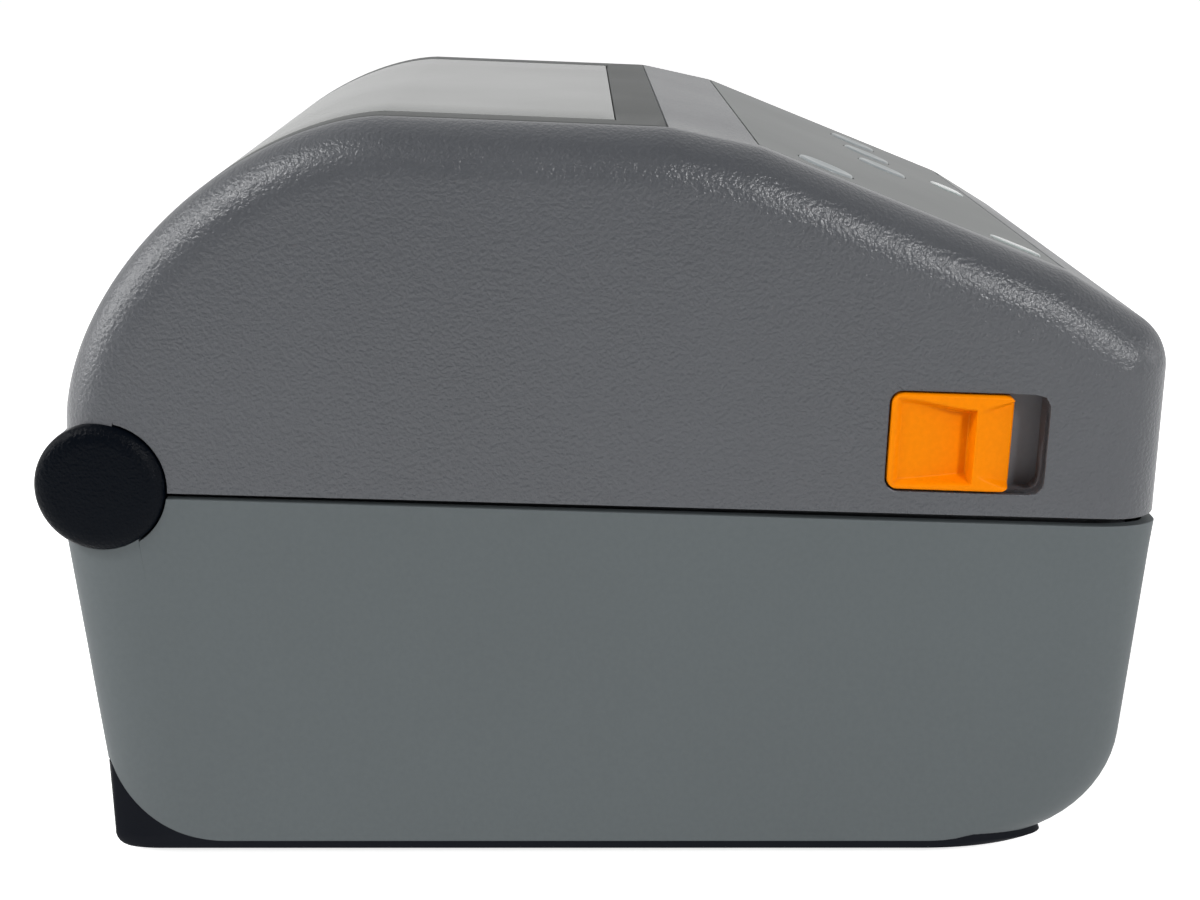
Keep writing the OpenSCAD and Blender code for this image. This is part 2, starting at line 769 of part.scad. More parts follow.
module connector_panel() {
  hood_rear = wall_y(base_rear_y, rear_wall_z, base_rear_lean, port_top) - 0.6;
  color("#1c1e22") difference() {
    union() {
      translate([-port_half + snug, port_plate_y, board_z - 1 + snug])
        cube([2 * (port_half - snug), port_plate_t, port_top - board_z + 1 - 2 * snug]);
      both() along_x(port_half - snug - 1.5, port_half - snug) polygon([
        [port_plate_y, tray_wall_z + 0.2], [hood_rear - 2.6, tray_wall_z + 0.2],
        [hood_rear, port_top - snug], [port_plate_y, port_top - snug]
      ]);
      translate([-port_half + snug, port_plate_y, port_top - snug - 1.5])
        cube([2 * (port_half - snug), hood_rear - port_plate_y, 1.5]);
    }
    bar_y(4.2, port_plate_y, inlet_x, inlet_z());
    port_hole(usb_x, usb_size, usb_z());
    port_hole(network_x, network_size, network_z());
  }
}

usb_size = [12, 16, 11];
network_size = [16, 21, 13.4];
inlet_size = [9, 14, 11];
function inlet_z() = board_z + board_t + inlet_size[2] / 2;
function usb_z() = board_z + board_t + usb_size[2] / 2;
function network_z() = board_z + board_t + network_size[2] / 2;

// Round hole through the connector panel
module bar_y(r, y, x, z) {
  translate([x, y - eps, z]) rotate([-90, 0, 0]) cylinder(r = r, h = port_plate_t + 2 * eps);
}

// Hole in the connector panel that lets a socket through
module port_hole(x, size, z) {
  translate([x - size[0] / 2 - 0.3, port_plate_y - eps, z - size[2] / 2 - 0.3])
    cube([size[0] + 0.6, port_plate_t + 2 * eps, size[2] + 0.6]);
}

module power_inlet() {
  color("#111214") translate([inlet_x, port_plate_y - snug, inlet_z()]) difference() {
    translate([-inlet_size[0] / 2, -inlet_size[1], -inlet_size[2] / 2]) cube(inlet_size);
    translate([0, -9, 0]) rotate([-90, 0, 0]) difference() {
      cylinder(d = 6.4, h = 12);
      translate([0, 0, -eps]) cylinder(d = 2, h = 9);
    }
  }
}

module usb_socket() {
  color("#b9bcc0") translate([usb_x, port_plate_y + port_plate_t, usb_z()]) difference() {
    translate([-usb_size[0] / 2, -usb_size[1], -usb_size[2] / 2]) cube(usb_size);
    translate([0, eps, 0]) rotate([90, 0, 0]) linear_extrude(10)
      polygon([[-4.4, -4], [4.4, -4], [4.4, 2.2], [2.8, 4], [-2.8, 4], [-4.4, 2.2]]);
  }
}

module network_socket() {
  color("#2b2d30") translate([network_x, port_plate_y + port_plate_t, network_z()]) difference() {
    translate([-network_size[0] / 2, -network_size[1], -network_size[2] / 2]) cube(network_size);
    translate([-6, -12, -4]) cube([12, 13, 7.4]);
    translate([-3.2, -12, -5.6]) cube([6.4, 13, 3]);
  }
}

module main_board() {
  color("#1f5a3a") difference() {
    union() {
      translate([-tub_half + 2, board_front_y, board_z])
        cube([2 * tub_half - 4, port_plate_y - 1 - board_front_y, board_t]);
      for (x = [-30, 14]) translate([x, 52, board_z + board_t - 0.01]) cube([16, 12, 1.4]);
      for (x = [44, 52]) translate([x, 82, board_z + board_t - 0.01]) cylinder(d = 6.5, h = 9);
      translate([-22, 80, board_z + board_t - 0.01]) cube([8, 3, 5]);
    }
    for (x = [-board_hole_x, board_hole_x]) for (y = board_hole_ys)
      translate([x, y, board_z - eps]) cylinder(r = 1.6, h = board_t + 2 * eps);
  }
}

module stepper_motor() {
  x1 = -tub_half;
  c = 4;
  h = motor_a / 2;
  color("#2b2d31") difference() {
    union() {
      translate([0, motor_y, motor_z]) along_x(x1, x1 + 8) polygon(cut_square(h, c));
      translate([0, motor_y, motor_z]) along_x(x1 + 8, x1 + motor_l - 8) polygon(cut_square(h - 0.6, c + 2));
      translate([0, motor_y, motor_z]) along_x(x1 + motor_l - 8, x1 + motor_l) polygon(cut_square(h, c));
      bar_x(11, x1 - plate_t, x1 + 1, motor_y, motor_z);
    }
    bar_x(motor_shaft_d / 2 + axle_play, x1 - plate_t - eps, x1 + motor_l - 6, motor_y, motor_z);
  }
}
// Square with half side h and corners cut by c
function cut_square(h, c) = [
  for (k = [0:3]) each [spin([h, -h + c], 90 * k), spin([h, h - c], 90 * k)]
];

module gear_plate() {
  x1 = -tub_half;
  color("#a9adb2") difference() {
    union() {
      along_x(x1 - plate_t, x1) polygon([
        [-98, 30], [-90, 20], [motor_y - 12, motor_z - motor_a / 2], [motor_y + 20, motor_z - motor_a / 2],
        [motor_y + 22, 40], [-48, deck_z - deck_t], [-98, deck_z - deck_t]
      ]);
      bar_x(post_d / 2, -gear_x - gear_t - 1, x1 - plate_t + 0.5, idler_y, idler_z);
      bar_x(post_d / 2 + 1.6, -gear_x + 0.6 + axle_play, x1 - plate_t + 0.5, idler_y, idler_z);
    }
    bar_x(bush_r + 1, x1 - plate_t - eps, x1 + eps, platen_y, platen_z);
    bar_x(11 + snug, x1 - plate_t - eps, x1 + eps, motor_y, motor_z);
  }
}

module platen_bushes() {
  color("#d8d4c4") both() tube_x(bush_r, shaft_d / 2 + axle_play, cheek_in, tub_half + 0.3, platen_y, platen_z);
}

module rubber_feet() {
  color("#18191b") for (x = [-foot_at_x, foot_at_x]) for (y = foot_ys)
    translate([x, y, 0]) cylinder(d1 = foot_d - 1.5, d2 = foot_d, h = foot_h);
}

module screw(head_d, head_h, shank_l) {
  difference() {
    cylinder(d = head_d, h = head_h);
    translate([0, 0, head_h - 1]) cylinder(d = 2.6, h = 2, $fn = 6);
  }
  translate([0, 0, -shank_l]) cylinder(r = bore_r, h = shank_l + 0.1);
}

module tray_screws() {
  color("#8c9095") for (x = [-column_x, column_x]) for (y = column_ys)
    translate([x, y, foot_h + 1]) mirror([0, 0, 1]) screw(5.6, 0.9, 12);
}

module tub_screws() {
  color("#8c9095") for (x = [-column_x, column_x]) for (y = column_ys)
    translate([x, y, deck_z]) screw(6, 2, 10);
}

module hinge_pins() {
  color("#c3c6ca") both()
    bar_x(hinge_pin_d / 2, roll_end - roll_disc_t, cap_in + 2, hinge_y, hinge_z);
}

module hinge_caps() {
  out = half_w + cap_proud;
  rim = 1.6;
  color("#0f131a") both() translate([0, hinge_y, hinge_z]) rotate([0, 90, 0]) rotate_extrude($fn = 96)
    polygon(concat(
      [[hinge_pin_d / 2, cap_in], [cap_r, cap_in], [cap_r, out - rim]],
      arc([cap_r - rim, out - rim], rim, 10, 90, 4),
      [[0, out], [0, cap_in + 2], [hinge_pin_d / 2, cap_in + 2]]
    ));
}

module strike_brackets() {
  under = deck_z - deck_t;
  x0 = hook_x + hook_t + 1.2;
  color("#9b9fa4") both() {
    difference() {
      along_x(x0, x0 + 2) polygon([
        [strike_y - 5, under], [strike_y - 5, strike_z - 4], [strike_y - 2, strike_z - 6],
        [strike_y + 4, strike_z - 6], [strike_y + 7, strike_z - 3], [strike_y + 7, under]
      ]);
      bar_x(strike_d / 2, x0 - eps, x0 + 2 + eps, strike_y, strike_z);
    }
    bar_x(strike_d / 2, hook_x - 0.7, x0 + 2, strike_y, strike_z);
  }
}

// Cover
window_front_y = facet_y + 10;
window_low_z = 112;
frame_depth = 1.2;
module cover_shell() {
  half_frame = window_w / 2 + frame_w;
  color("#585a5f") difference() {
    union() {
      difference() {
        cover_body(0, cover_steps);
        cover_body(wall, cover_inner_steps);
        below_seam();
        translate([-knuckle_in, rear_y - 20, 0]) cube([2 * knuckle_in, 30, hinge_z + roll_r + 0.6]);
        both() bar_x(cap_r + 0.35, cap_in - 0.2, half_w + 5, hinge_y, hinge_z);
        skin_band(-1, frame_depth, half_frame + snug, facet_y, rear_y + 5, window_low_z - 8);
        skin_band(-1, window_t, window_w / 2 + snug, window_front_y - snug, rear_y + 5, window_low_z - snug);
        skin_band(-1, wall + 1, window_w / 2 - 3.5, window_front_y + 4, rear_y + 5, window_low_z + 4);
        on_panel() translate([-panel_w / 2, -panel_l + 0.6, -1.5]) cube([panel_w, panel_l - 1.2, 5]);
        on_panel() panel_holes(0.5, 6);
        exit_notch();
      }
      both() bar_x(knuckle_r, knuckle_in, knuckle_out, hinge_y, hinge_z);
      both() latch_pad();
      for (p = boss_at) head_boss(p[0], p[1]);
    }
    both() bar_x(hinge_pin_d / 2 + hinge_play, knuckle_in - eps, half_w, hinge_y, hinge_z);
    both() at_latch() translate([pad_x - eps, 0, 0]) rotate([90, 0, 90]) linear_extrude(12)
      polygon(rounded(recess_l, recess_h, recess_r));
    for (p = boss_at) translate([p[0], p[1], frame_z]) cylinder(r = bore_r, h = 14);
  }
}

// Flat pad inside the side wall that carries the latch pan
module latch_pad() {
  lean = tan(draft) * (latch_z - seam_z);
  at_latch() translate([pad_x, 0, 0]) rotate([90, 0, 90]) linear_extrude(half_w - pad_x - lean - 0.8)
    polygon(rounded(recess_l + 6, recess_h + 3, recess_r + 1));
}

// Boss from the roof down to the head frame
module head_boss(x, y) {
  y0 = y - boss_d / 2;
  on_nose = panel_end_z + (y0 - panel_end_y) * tan(nose_slope);
  on_top = panel_z + (y0 - panel_y) * tan(panel_slope);
  roof = y0 < panel_end_y ? on_nose : on_top;
  translate([x, y, frame_z + frame_t]) cylinder(d = boss_d, h = roof - 0.6 * wall - frame_z - frame_t);
}

// Notch in the front wall that lets the label out
module exit_notch() {
  translate([-media_w / 2 - 2.5, -front_y - 5, 60]) cube([media_w + 5, 10, 17.6]);
}

// Places on the panel: across, and down the slope from its rear edge
power_at = [-61, -15.5];
pause_at = [2, -38];
feed_at = [27.5, -38];
cancel_at = [53, -38];
left_lens_at = [-66.2, -56];
right_lens_at = [22, -58.5];

// Holes for the buttons and lenses, wider than them by the given play
module panel_holes(gap, depth) {
  for (p = [power_at, pause_at, feed_at, cancel_at])
    translate([p[0], p[1], -depth]) cylinder(d = button_d + 2 * gap + (depth > 3 ? 3 : 0), h = depth + 3);
  for (q = [[left_lens_at, 7, 11], [right_lens_at, 12, 8]])
    translate([q[0][0], q[0][1], -depth]) linear_extrude(depth + 3)
      polygon(rounded(q[1] + 0.2, q[2] + 0.2, min(q[1], q[2]) / 2, 6));
}

module window_frame() {
  half_frame = window_w / 2 + frame_w;
  color("#33363a") difference() {
    skin_band(0, frame_depth, half_frame, facet_y + snug, rear_y + 5, window_low_z - 8 + snug);
    skin_band(-1, frame_depth + 1, window_w / 2 + snug, window_front_y - snug, rear_y + 5, window_low_z - snug);
  }
}

module window() {
  color("#c4c8c6", 0.6) skin_band(0, window_t, window_w / 2, window_front_y, rear_y + 5, window_low_z);
}

module control_panel() {
  color("#8c908f") on_panel() difference() {
    translate([-panel_w / 2 + snug, -panel_l + 0.6 + snug + 0.5, -1.5])
      cube([panel_w - 2 * snug, panel_l - 1.7 - 2 * snug, 1.5]);
    panel_holes(0.3, 2);
  }
}

module status_lenses() {
  color("#c9d6d4") on_panel() for (q = [[left_lens_at, 7, 11], [right_lens_at, 12, 8]])
    translate([q[0][0], q[0][1], -wall - 0.8]) linear_extrude(wall + 1)
      polygon(rounded(q[1], q[2], min(q[1], q[2]) / 2 - 0.1, 6));
}

board_depth = 7;
post_xs = [-30, 64];
post_ys = [-12, -50];
module panel_board() {
  color("#1f5a3a") difference() {
    on_panel() {
      translate([-panel_w / 2 + 4, -panel_l + 3, -board_depth - board_t])
        cube([panel_w - 8, panel_l - 10, board_t]);
      for (p = [power_at, pause_at, feed_at, cancel_at])
        translate([p[0] - 3, p[1] - 3, -board_depth - 0.01]) cube([6, 6, 2]);
      for (x = post_xs) for (y = post_ys)
        translate([x, y, -board_depth - 0.01]) cylinder(d = 4, h = board_depth - wall);
    }
    on_panel() for (x = post_xs) for (y = post_ys)
      translate([x, y, -board_depth - 3]) cylinder(r = 0.8, h = board_depth);
    for (p = boss_at) translate([p[0], p[1], frame_z]) cylinder(d = boss_d + 2 * play, h = 60);
  }
}

module push_button(p) {
  color("#a5acaf") on_panel() translate([p[0], p[1], 0]) {
    translate([0, 0, -4]) cylinder(d = button_d, h = 4 + button_proud);
    translate([0, 0, -3.2]) cylinder(d = button_d + 2, h = 1.4);
  }
}
module power_button() { push_button(power_at); }
module pause_button() { push_button(pause_at); }
module feed_button() { push_button(feed_at); }
module cancel_button() { push_button(cancel_at); }

module latch_pan() {
  color("#2f3236") at_latch() difference() {
    translate([pan_floor_x, 0, 0]) rotate([90, 0, 90]) linear_extrude(pad_x - pan_floor_x)
      polygon(rounded(recess_l + 2 * pan_wall, recess_h + 2 * pan_wall, recess_r + pan_wall));
    translate([pan_floor_x + pan_wall, 0, 0]) rotate([90, 0, 90]) linear_extrude(10)
      polygon(rounded(recess_l, recess_h, recess_r));
    translate([pan_floor_x - eps, stem_y - latch_travel - 2 * play, -stem_w / 2 - play])
      cube([4, stem_w + latch_travel + 4 * play, stem_w + 2 * play]);
  }
}
module latch_pan_right() { latch_pan(); }
module latch_pan_left() { mirror([1, 0, 0]) latch_pan(); }

// Thumb piece with a scooped face, a ridge ahead of the scoop and a stem to the hook
module latch() {
  h = recess_h / 2 - play;
  ridge = latch_rest + 7.6;
  proud = half_w + 0.4;
  color("#ee8a04") at_latch() {
    difference() {
      translate([0, latch_rest + latch_l / 2, 0]) translate([paddle_x, 0, 0]) rotate([90, 0, 90])
        linear_extrude(proud - paddle_x) polygon(rounded(latch_l, 2 * h, 2));
      translate([0, 0, -h - eps]) linear_extrude(2 * h + 2 * eps) polygon([
        [proud, ridge], [proud + 2, ridge], [proud + 2, latch_rest - 1], [proud - 2.2, latch_rest - 1]
      ]);
      hull() {
        translate([proud + 0.2, ridge + 1.4, -h + 1.4]) cube([0.1, latch_l - 10.4, 2 * h - 4.6]);
        translate([proud - 4.6, ridge + 5, -h + 1.4]) cube([0.1, latch_l - 14.4, 2 * h - 6]);
      }
    }
    translate([hook_x + hook_t, stem_y, -stem_w / 2])
      cube([paddle_x - hook_x - hook_t + 0.1, stem_w, stem_w]);
  }
}
module latch_right() { latch(); }
module latch_left() { mirror([1, 0, 0]) latch(); }

// Steel plate whose foot reaches under the strike pin, with a ramp that rides over it on closing
module hook() {
  tip = strike_y + strike_d / 2 + 1;
  color("#b4b8bc") along_x(hook_x, hook_x + hook_t) polygon([
    [shank_y, shank_top], [shank_y - shank_w, shank_top], [shank_y - shank_w, hook_z],
    [shank_y + 1, hook_z], [tip, hook_z + hook_h - 1], [tip, hook_z + hook_h], [shank_y, hook_z + hook_h]
  ]);
}
module hook_right() { hook(); }
module hook_left() { mirror([1, 0, 0]) hook(); }

// Coil spring shown as its closed outer form with a bore
module coil(r, bore, h) {
  difference() {
    cylinder(r = r, h = h, $fn = 24);
    translate([0, 0, -eps]) cylinder(r = bore, h = h + 2 * eps, $fn = 24);
  }
}

module head_frame() {
  color("#25272b") difference() {
    union() {
      translate([-frame_half, frame_front_y, frame_z])
        cube([2 * frame_half, frame_rear_y - frame_front_y, frame_t]);
      both() translate([skirt_in, platen_y - 12, skirt_low_z])
        cube([skirt_t, 24, frame_z - skirt_low_z + 0.1]);
      translate([-skirt_in, frame_front_y, skirt_low_z - 1])
        cube([2 * skirt_in, 2, frame_z - skirt_low_z + 1.1]);
      translate([-skirt_in, skirt_rear_y, skirt_low_z + 2])
        cube([2 * skirt_in, 2, frame_z - skirt_low_z - 1.9]);
      for (i = [-2:2]) translate([i * skirt_in * 0.43 - 0.75, skirt_rear_y + 1, skirt_low_z + 8])
        cube([1.5, 15, frame_z - skirt_low_z - 7.9]);
    }
    both() translate([skirt_in - eps, platen_y - pivot_w / 2, pivot_z])
      cube([skirt_t + 2 * eps, pivot_w, pivot_h]);
    for (p = boss_at) translate([p[0], p[1], frame_z - eps]) cylinder(r = 1.6, h = frame_t + 2 * eps);
    for (x = [-spring_x, spring_x]) translate([x, platen_y, frame_z + 0.8]) cylinder(d = 3, h = frame_t);
  }
}

module head_frame_screws() {
  color("#8c9095") for (p = boss_at)
    translate([p[0], p[1], frame_z]) mirror([0, 0, 1]) screw(6, 2, 10);
}

// Serrated strip that the label is torn against
module tear_bar() {
  low = deck_z + 5.6;
  half = media_w / 2 + 1;
  pitch = 2;
  teeth = floor(2 * half / pitch);
  color("#c9cccf") translate([0, frame_front_y - 1.2, 0]) rotate([-90, 0, 0]) mirror([0, 1, 0])
    linear_extrude(1.2)
    polygon(concat(
      [[half, 86], [-half, 86], [-half, low + 1.2]],
      [for (i = [0:teeth - 1]) each [[-half + pitch * (i + 0.5), low], [-half + pitch * (i + 1), low + 1.2]]]
    ));
}

module label_sensor() {
  color("#2e3034") union() {
    translate([-media_w / 2 + 3, sensor_y, sensor_z]) cube([media_w - 6, 8, 4]);
    for (i = [-5:2:5]) translate([i * media_w / 14, sensor_y + 5.2, sensor_z - 0.8])
      cylinder(d = 3, h = 1, $fn = 24);
  }
}

module head_springs() {
  z0 = carrier_z + carrier_t;
  color("#b4b8bc") for (x = [-spring_x, spring_x]) translate([x, platen_y, z0]) coil(3.4, 2.4, frame_z - z0);
}

module head_carrier() {
  color("#34373c") union() {
    translate([-skirt_in + play, platen_y - 12, carrier_z]) cube([2 * (skirt_in - play), 25, carrier_t]);
    both() translate([head_half + 0.1, platen_y - 9, skirt_low_z])
      cube([skirt_in - play - head_half - 0.1, 18, carrier_z - skirt_low_z + 0.1]);
    both() translate([skirt_in - play - 0.1, platen_y - pivot_w / 2 + play, pivot_z])
      cube([skirt_t + play + 0.4, pivot_w - 2 * play, 4]);
  }
}

module heat_sink() {
  fins = 5;
  color("#b9bdc1") union() {
    translate([-head_half, platen_y - 10, sink_z]) cube([2 * head_half, 20, 5]);
    for (i = [0:fins - 1]) translate([-head_half, platen_y - 10 + i * 4.5, sink_z + 4.9])
      cube([2 * head_half, 2, sink_h - 4.9]);
  }
}

module thermal_strip() {
  color("#4b3a2c") translate([-platen_l / 2 + 1, platen_y - 8, strip_z]) cube([platen_l - 2, 14, strip_t]);
}

// Platen and feed gears
module platen_shaft() {
  color("#c3c6ca") bar_x(shaft_d / 2, -gear_x - gear_t - 1, tub_half + 0.6, platen_y, platen_z);
}

module platen_roller() {
  color("#17181a") tube_x(platen_r, shaft_d / 2, -platen_l / 2, platen_l / 2, platen_y, platen_z);
}

module platen_gear() {
  color("#e6e3d8") feed_gear(platen_teeth, feed_angle, platen_y, platen_z, shaft_d / 2, shaft_d / 2 + 2);
}

module idler_gear() {
  color("#e6e3d8") feed_gear(idler_teeth, idler_phase, idler_y, idler_z, post_d / 2 + axle_play, 5);
}

module motor_shaft() {
  color("#c3c6ca") bar_x(motor_shaft_d / 2, -gear_x - gear_t - 1, -tub_half + motor_l - 8, motor_y, motor_z);
}

module motor_pinion() {
  color("#c8a24a") feed_gear(pinion_teeth, pinion_phase, motor_y, motor_z, motor_shaft_d / 2, motor_shaft_d / 2 + 1);
}

// Roll guides: an arm on a foot that runs in the slot, with its rack under the cradle
module guide_arm() {
  low = roll_z - cradle_r + 0.6;
  x0 = guide_gap / 2;
  color("#34373c") difference() {
    union() {
      along_x(x0, x0 + guide_t) difference() {
        hull() {
          translate([roll_y, roll_z]) circle(r = arm_r, $fn = hull_fn);
          translate([roll_y - 17, low + 3]) square([34, 1]);
        }
        difference() {
          translate([roll_y - 40, -10]) square([80, roll_z]);
          translate([roll_y, roll_z]) circle(r = cradle_r - 0.6, $fn = 96);
        }
      }
      translate([x0 + 0.5, roll_y - guide_slot_w / 2 + play, low + 1.2])
        cube([foot_x + foot_w - x0 - 0.5, guide_slot_w - 2 * play, 3]);
      translate([foot_x, roll_y - guide_slot_w / 2 + play, rack_z])
        cube([foot_w, guide_slot_w - 2 * play, low + 2 - rack_z]);
    }
    for (a = [-50, 0, 50])
      bar_x(4.6, x0 - eps, x0 + guide_t + eps, roll_y + 18 * sin(a), roll_z - 28 - 6 * cos(a));
  }
}

// Rack of a guide, which reaches across the pinion: its pitch line lies on y = 0 and its teeth point to +Y
rack_pitch = guide_m * PI;
rack_slack = 0.1;
rack_root = 1.25 * guide_m;
rack_tip = 0.9 * guide_m;
function tooth_half(h) = rack_pitch / 4 - h * tan(20) - rack_slack;
function rack_outline(x0, x1, first) = concat(
  [[x1, -rack_root], [x1, -rack_root - rack_w], [x0, -rack_root - rack_w], [x0, -rack_root]],
  [for (k = [0:floor((x1 - first - rack_pitch / 2) / rack_pitch)]) let (c = first + k * rack_pitch) each [
    [c - tooth_half(-rack_root), -rack_root], [c - tooth_half(rack_tip), rack_tip],
    [c + tooth_half(rack_tip), rack_tip], [c + tooth_half(-rack_root), -rack_root]
  ]]
);

module guide_rack() {
  reach = guide_travel + 4;
  first = -rack_pitch * (floor((foot_x - 2) / rack_pitch) + 0.5);
  color("#34373c") {
    translate([0, roll_y - guide_pinion_r, rack_z]) linear_extrude(rack_t)
      polygon(rack_outline(-foot_x - foot_w, reach, first));
    translate([-foot_x - foot_w, roll_y - guide_pinion_r - rack_root - 0.1, rack_z])
      cube([foot_w, guide_pinion_r - 2, rack_t]);
  }
}

module left_guide() {
  union() {
    mirror([1, 0, 0]) guide_arm();
    guide_rack();
  }
}

module right_guide() {
  union() {
    guide_arm();
    translate([0, 2 * roll_y, 0]) rotate([0, 0, 180]) guide_rack();
  }
}

module roll_hub() {
  x0 = guide_gap / 2;
  color("#8b8f94") translate([0, roll_y, roll_z]) rotate([0, 90, 0]) rotate_extrude()
    polygon([
      [0, x0], [19, x0], [19, x0 - 1.6], [core_d / 2, x0 - 1.6],
      [core_d / 2, x0 - 6], [core_d / 2 - 1.4, x0 - 7], [0, x0 - 7]
    ]);
}
module right_roll_hub() { roll_hub(); }
module left_roll_hub() { mirror([1, 0, 0]) roll_hub(); }

module guide_pinion() {
  color("#e6e3d8") translate([0, roll_y, rack_z]) difference() {
    linear_extrude(rack_t) polygon(gear_outline(guide_m, guide_teeth, 270));
    translate([0, 0, -eps]) cylinder(r = post_d / 2 + axle_play, h = rack_t + 2 * eps);
  }
}

module movable_sensor() {
  color("#1a1b1d") translate([0, -51, 0]) difference() {
    union() {
      translate([-7, -4.6, deck_z - 4.15]) cube([14, 9.2, 3.95]);
      translate([-3, -4.6, deck_z - 0.3]) cube([6, 2, 1.6]);
    }
    for (x = [-3, 3]) translate([x, 1, deck_z - 1.2]) cylinder(d = 2.4, h = 2, $fn = 24);
  }
}

base_tray();
lower_casing();
media_tub();
front_bezel();
connector_panel();
power_inlet();
usb_socket();
network_socket();
main_board();
stepper_motor();
gear_plate();
platen_bushes();
rubber_feet();
tray_screws();
tub_screws();
hinge_pins();
hinge_caps();
strike_brackets();
cover_shell();
window_frame();
window();
control_panel();
status_lenses();
panel_board();
latch_pan_left();
latch_pan_right();
head_frame();
head_frame_screws();
tear_bar();
label_sensor();
head_springs();
head_carrier();
heat_sink();
thermal_strip();
latch_left();
hook_left();
latch_right();
hook_right();
power_button();
pause_button();
feed_button();
cancel_button();
platen_shaft();
platen_roller();
platen_gear();
idler_gear();
motor_shaft();
motor_pinion();
left_guide();
left_roll_hub();
right_guide();
right_roll_hub();
guide_pinion();
movable_sensor();
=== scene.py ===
"""Desktop label printer: looks of the moulded cover, the lower casing and what they carry.

Lengths in the formulas are in millimetres, in the frame of the CAD part: X across the printer, -Y to the
front where the labels leave, Z up. They become metres when a mesh is made.
"""

import bmesh
import bpy
import numpy as np
from mathutils import Matrix, Vector


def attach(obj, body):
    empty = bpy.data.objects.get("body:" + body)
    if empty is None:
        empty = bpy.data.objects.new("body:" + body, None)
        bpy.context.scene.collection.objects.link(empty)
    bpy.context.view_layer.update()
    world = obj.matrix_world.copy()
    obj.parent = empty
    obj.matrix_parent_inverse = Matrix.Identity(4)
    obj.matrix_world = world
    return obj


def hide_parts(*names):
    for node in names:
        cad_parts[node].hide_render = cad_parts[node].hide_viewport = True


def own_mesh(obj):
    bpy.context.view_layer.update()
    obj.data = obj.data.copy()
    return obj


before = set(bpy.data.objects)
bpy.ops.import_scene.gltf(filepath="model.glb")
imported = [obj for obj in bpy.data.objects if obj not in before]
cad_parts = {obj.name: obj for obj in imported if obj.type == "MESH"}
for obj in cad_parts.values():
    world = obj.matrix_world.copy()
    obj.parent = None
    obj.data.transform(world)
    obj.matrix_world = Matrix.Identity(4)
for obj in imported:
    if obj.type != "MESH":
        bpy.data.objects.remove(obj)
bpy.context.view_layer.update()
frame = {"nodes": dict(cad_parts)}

bl_info = {
    "name": "Desktop label printer",
    "version": (1, 0, 0),
    "blender": (4, 5, 0),
    "location": "View3D > Sidebar > Printer",
    "description": "Builds the visible surfaces and finishes of a desktop label printer",
    "category": "Add Mesh",
}

MM = 0.001
TURN = 2 * np.pi


def srgb(r, g, b):
    """Linear colour of an sRGB colour given in steps of 255."""
    c = np.array([r, g, b]) / 255
    return tuple(np.where(c <= 0.04045, c / 12.92, ((c + 0.055) / 1.055) ** 2.4))


def length_property(name, value_mm, description):
    """Length setting, with its default in millimetres."""
    return bpy.props.FloatProperty(name=name, default=value_mm * MM, min=0, unit="LENGTH", precision=4,
                                   description=description)


def colour_property(name, value, description):
    """Colour setting, with its default in steps of 255."""
    return bpy.props.FloatVectorProperty(name=name, default=srgb(*value), subtype="COLOR", size=3, min=0, max=1,
                                         description=description)


class PrinterSizes(bpy.types.PropertyGroup):
    half_width: length_property("Half width", 87, "From the middle of the printer to the flat side wall")
    front: length_property("Front reach", 110.7, "From the origin to the front wall of the cover")
    top: length_property("Top height", 150.3, "Height of the highest line of the cover")
    wall: length_property("Wall", 2.5, "Thickness of the moulded walls")
    shoulder: length_property("Shoulder radius", 11, "Radius of the soft shoulder round the cover's sides")
    corner: length_property("Corner depth", 16, "How far the casing's upright corners reach along its sides")
    corner_side: length_property("Corner width", 8, "How far the casing's upright corners reach across its ends")
    lip: length_property("Lip radius", 0.45, "Rounding of the moulded lips")
    cap_radius: length_property("Cap radius", 12.7, "Radius of the round hinge cap")
    cap_proud: length_property("Cap height", 2, "How far a hinge cap stands out of the side wall")
    window_half: length_property("Window half width", 67.5, "Half the width of the clear window")
    frame_half: length_property("Frame half width", 75.9, "Half the width of the dark strip round the window")
    panel_half: length_property("Panel half width", 71.95, "Half the width of the control panel")
    button: length_property("Button radius", 5.8, "Radius of a round button")
    grain: length_property("Grain size", 0.72, "Size of one cell of the leather grain")


class PrinterColours(bpy.types.PropertyGroup):
    cover: colour_property("Cover", (67, 69, 73), "Grained plastic of the cover")
    casing: colour_property("Casing", (78, 84, 86), "Smooth plastic of the lower casing")
    tray: colour_property("Tray", (18, 20, 25), "Dark plastic of the tray")
    cap: colour_property("Cap", (3, 6, 12), "Black plastic of the hinge caps")
    latch: colour_property("Latch", (229, 126, 0), "Orange plastic of the latches")
    frame: colour_property("Frame", (50, 53, 52), "Dark strip round the window")
    panel: colour_property("Panel", (88, 91, 90), "Satin film of the control panel")
    button: colour_property("Button", (136, 142, 144), "Pale plastic of the buttons")
    window: colour_property("Window", (106, 109, 106), "Tint of the clear window")
    floor: colour_property("Floor", (250, 250, 250), "Pale floor under the printer")


class Lengths:
    """The printer's sizes in millimetres, under the names of PrinterSizes."""

    def __init__(self, held):
        for name in PrinterSizes.__annotations__:
            setattr(self, name, getattr(held, name) / MM)


def settings():
    """Sizes in millimetres and colours, as the sidebar holds them."""
    scene = bpy.context.scene
    return Lengths(scene.printer_sizes), scene.printer_colours


# --------------------------------------------------------------------------- moulded profiles

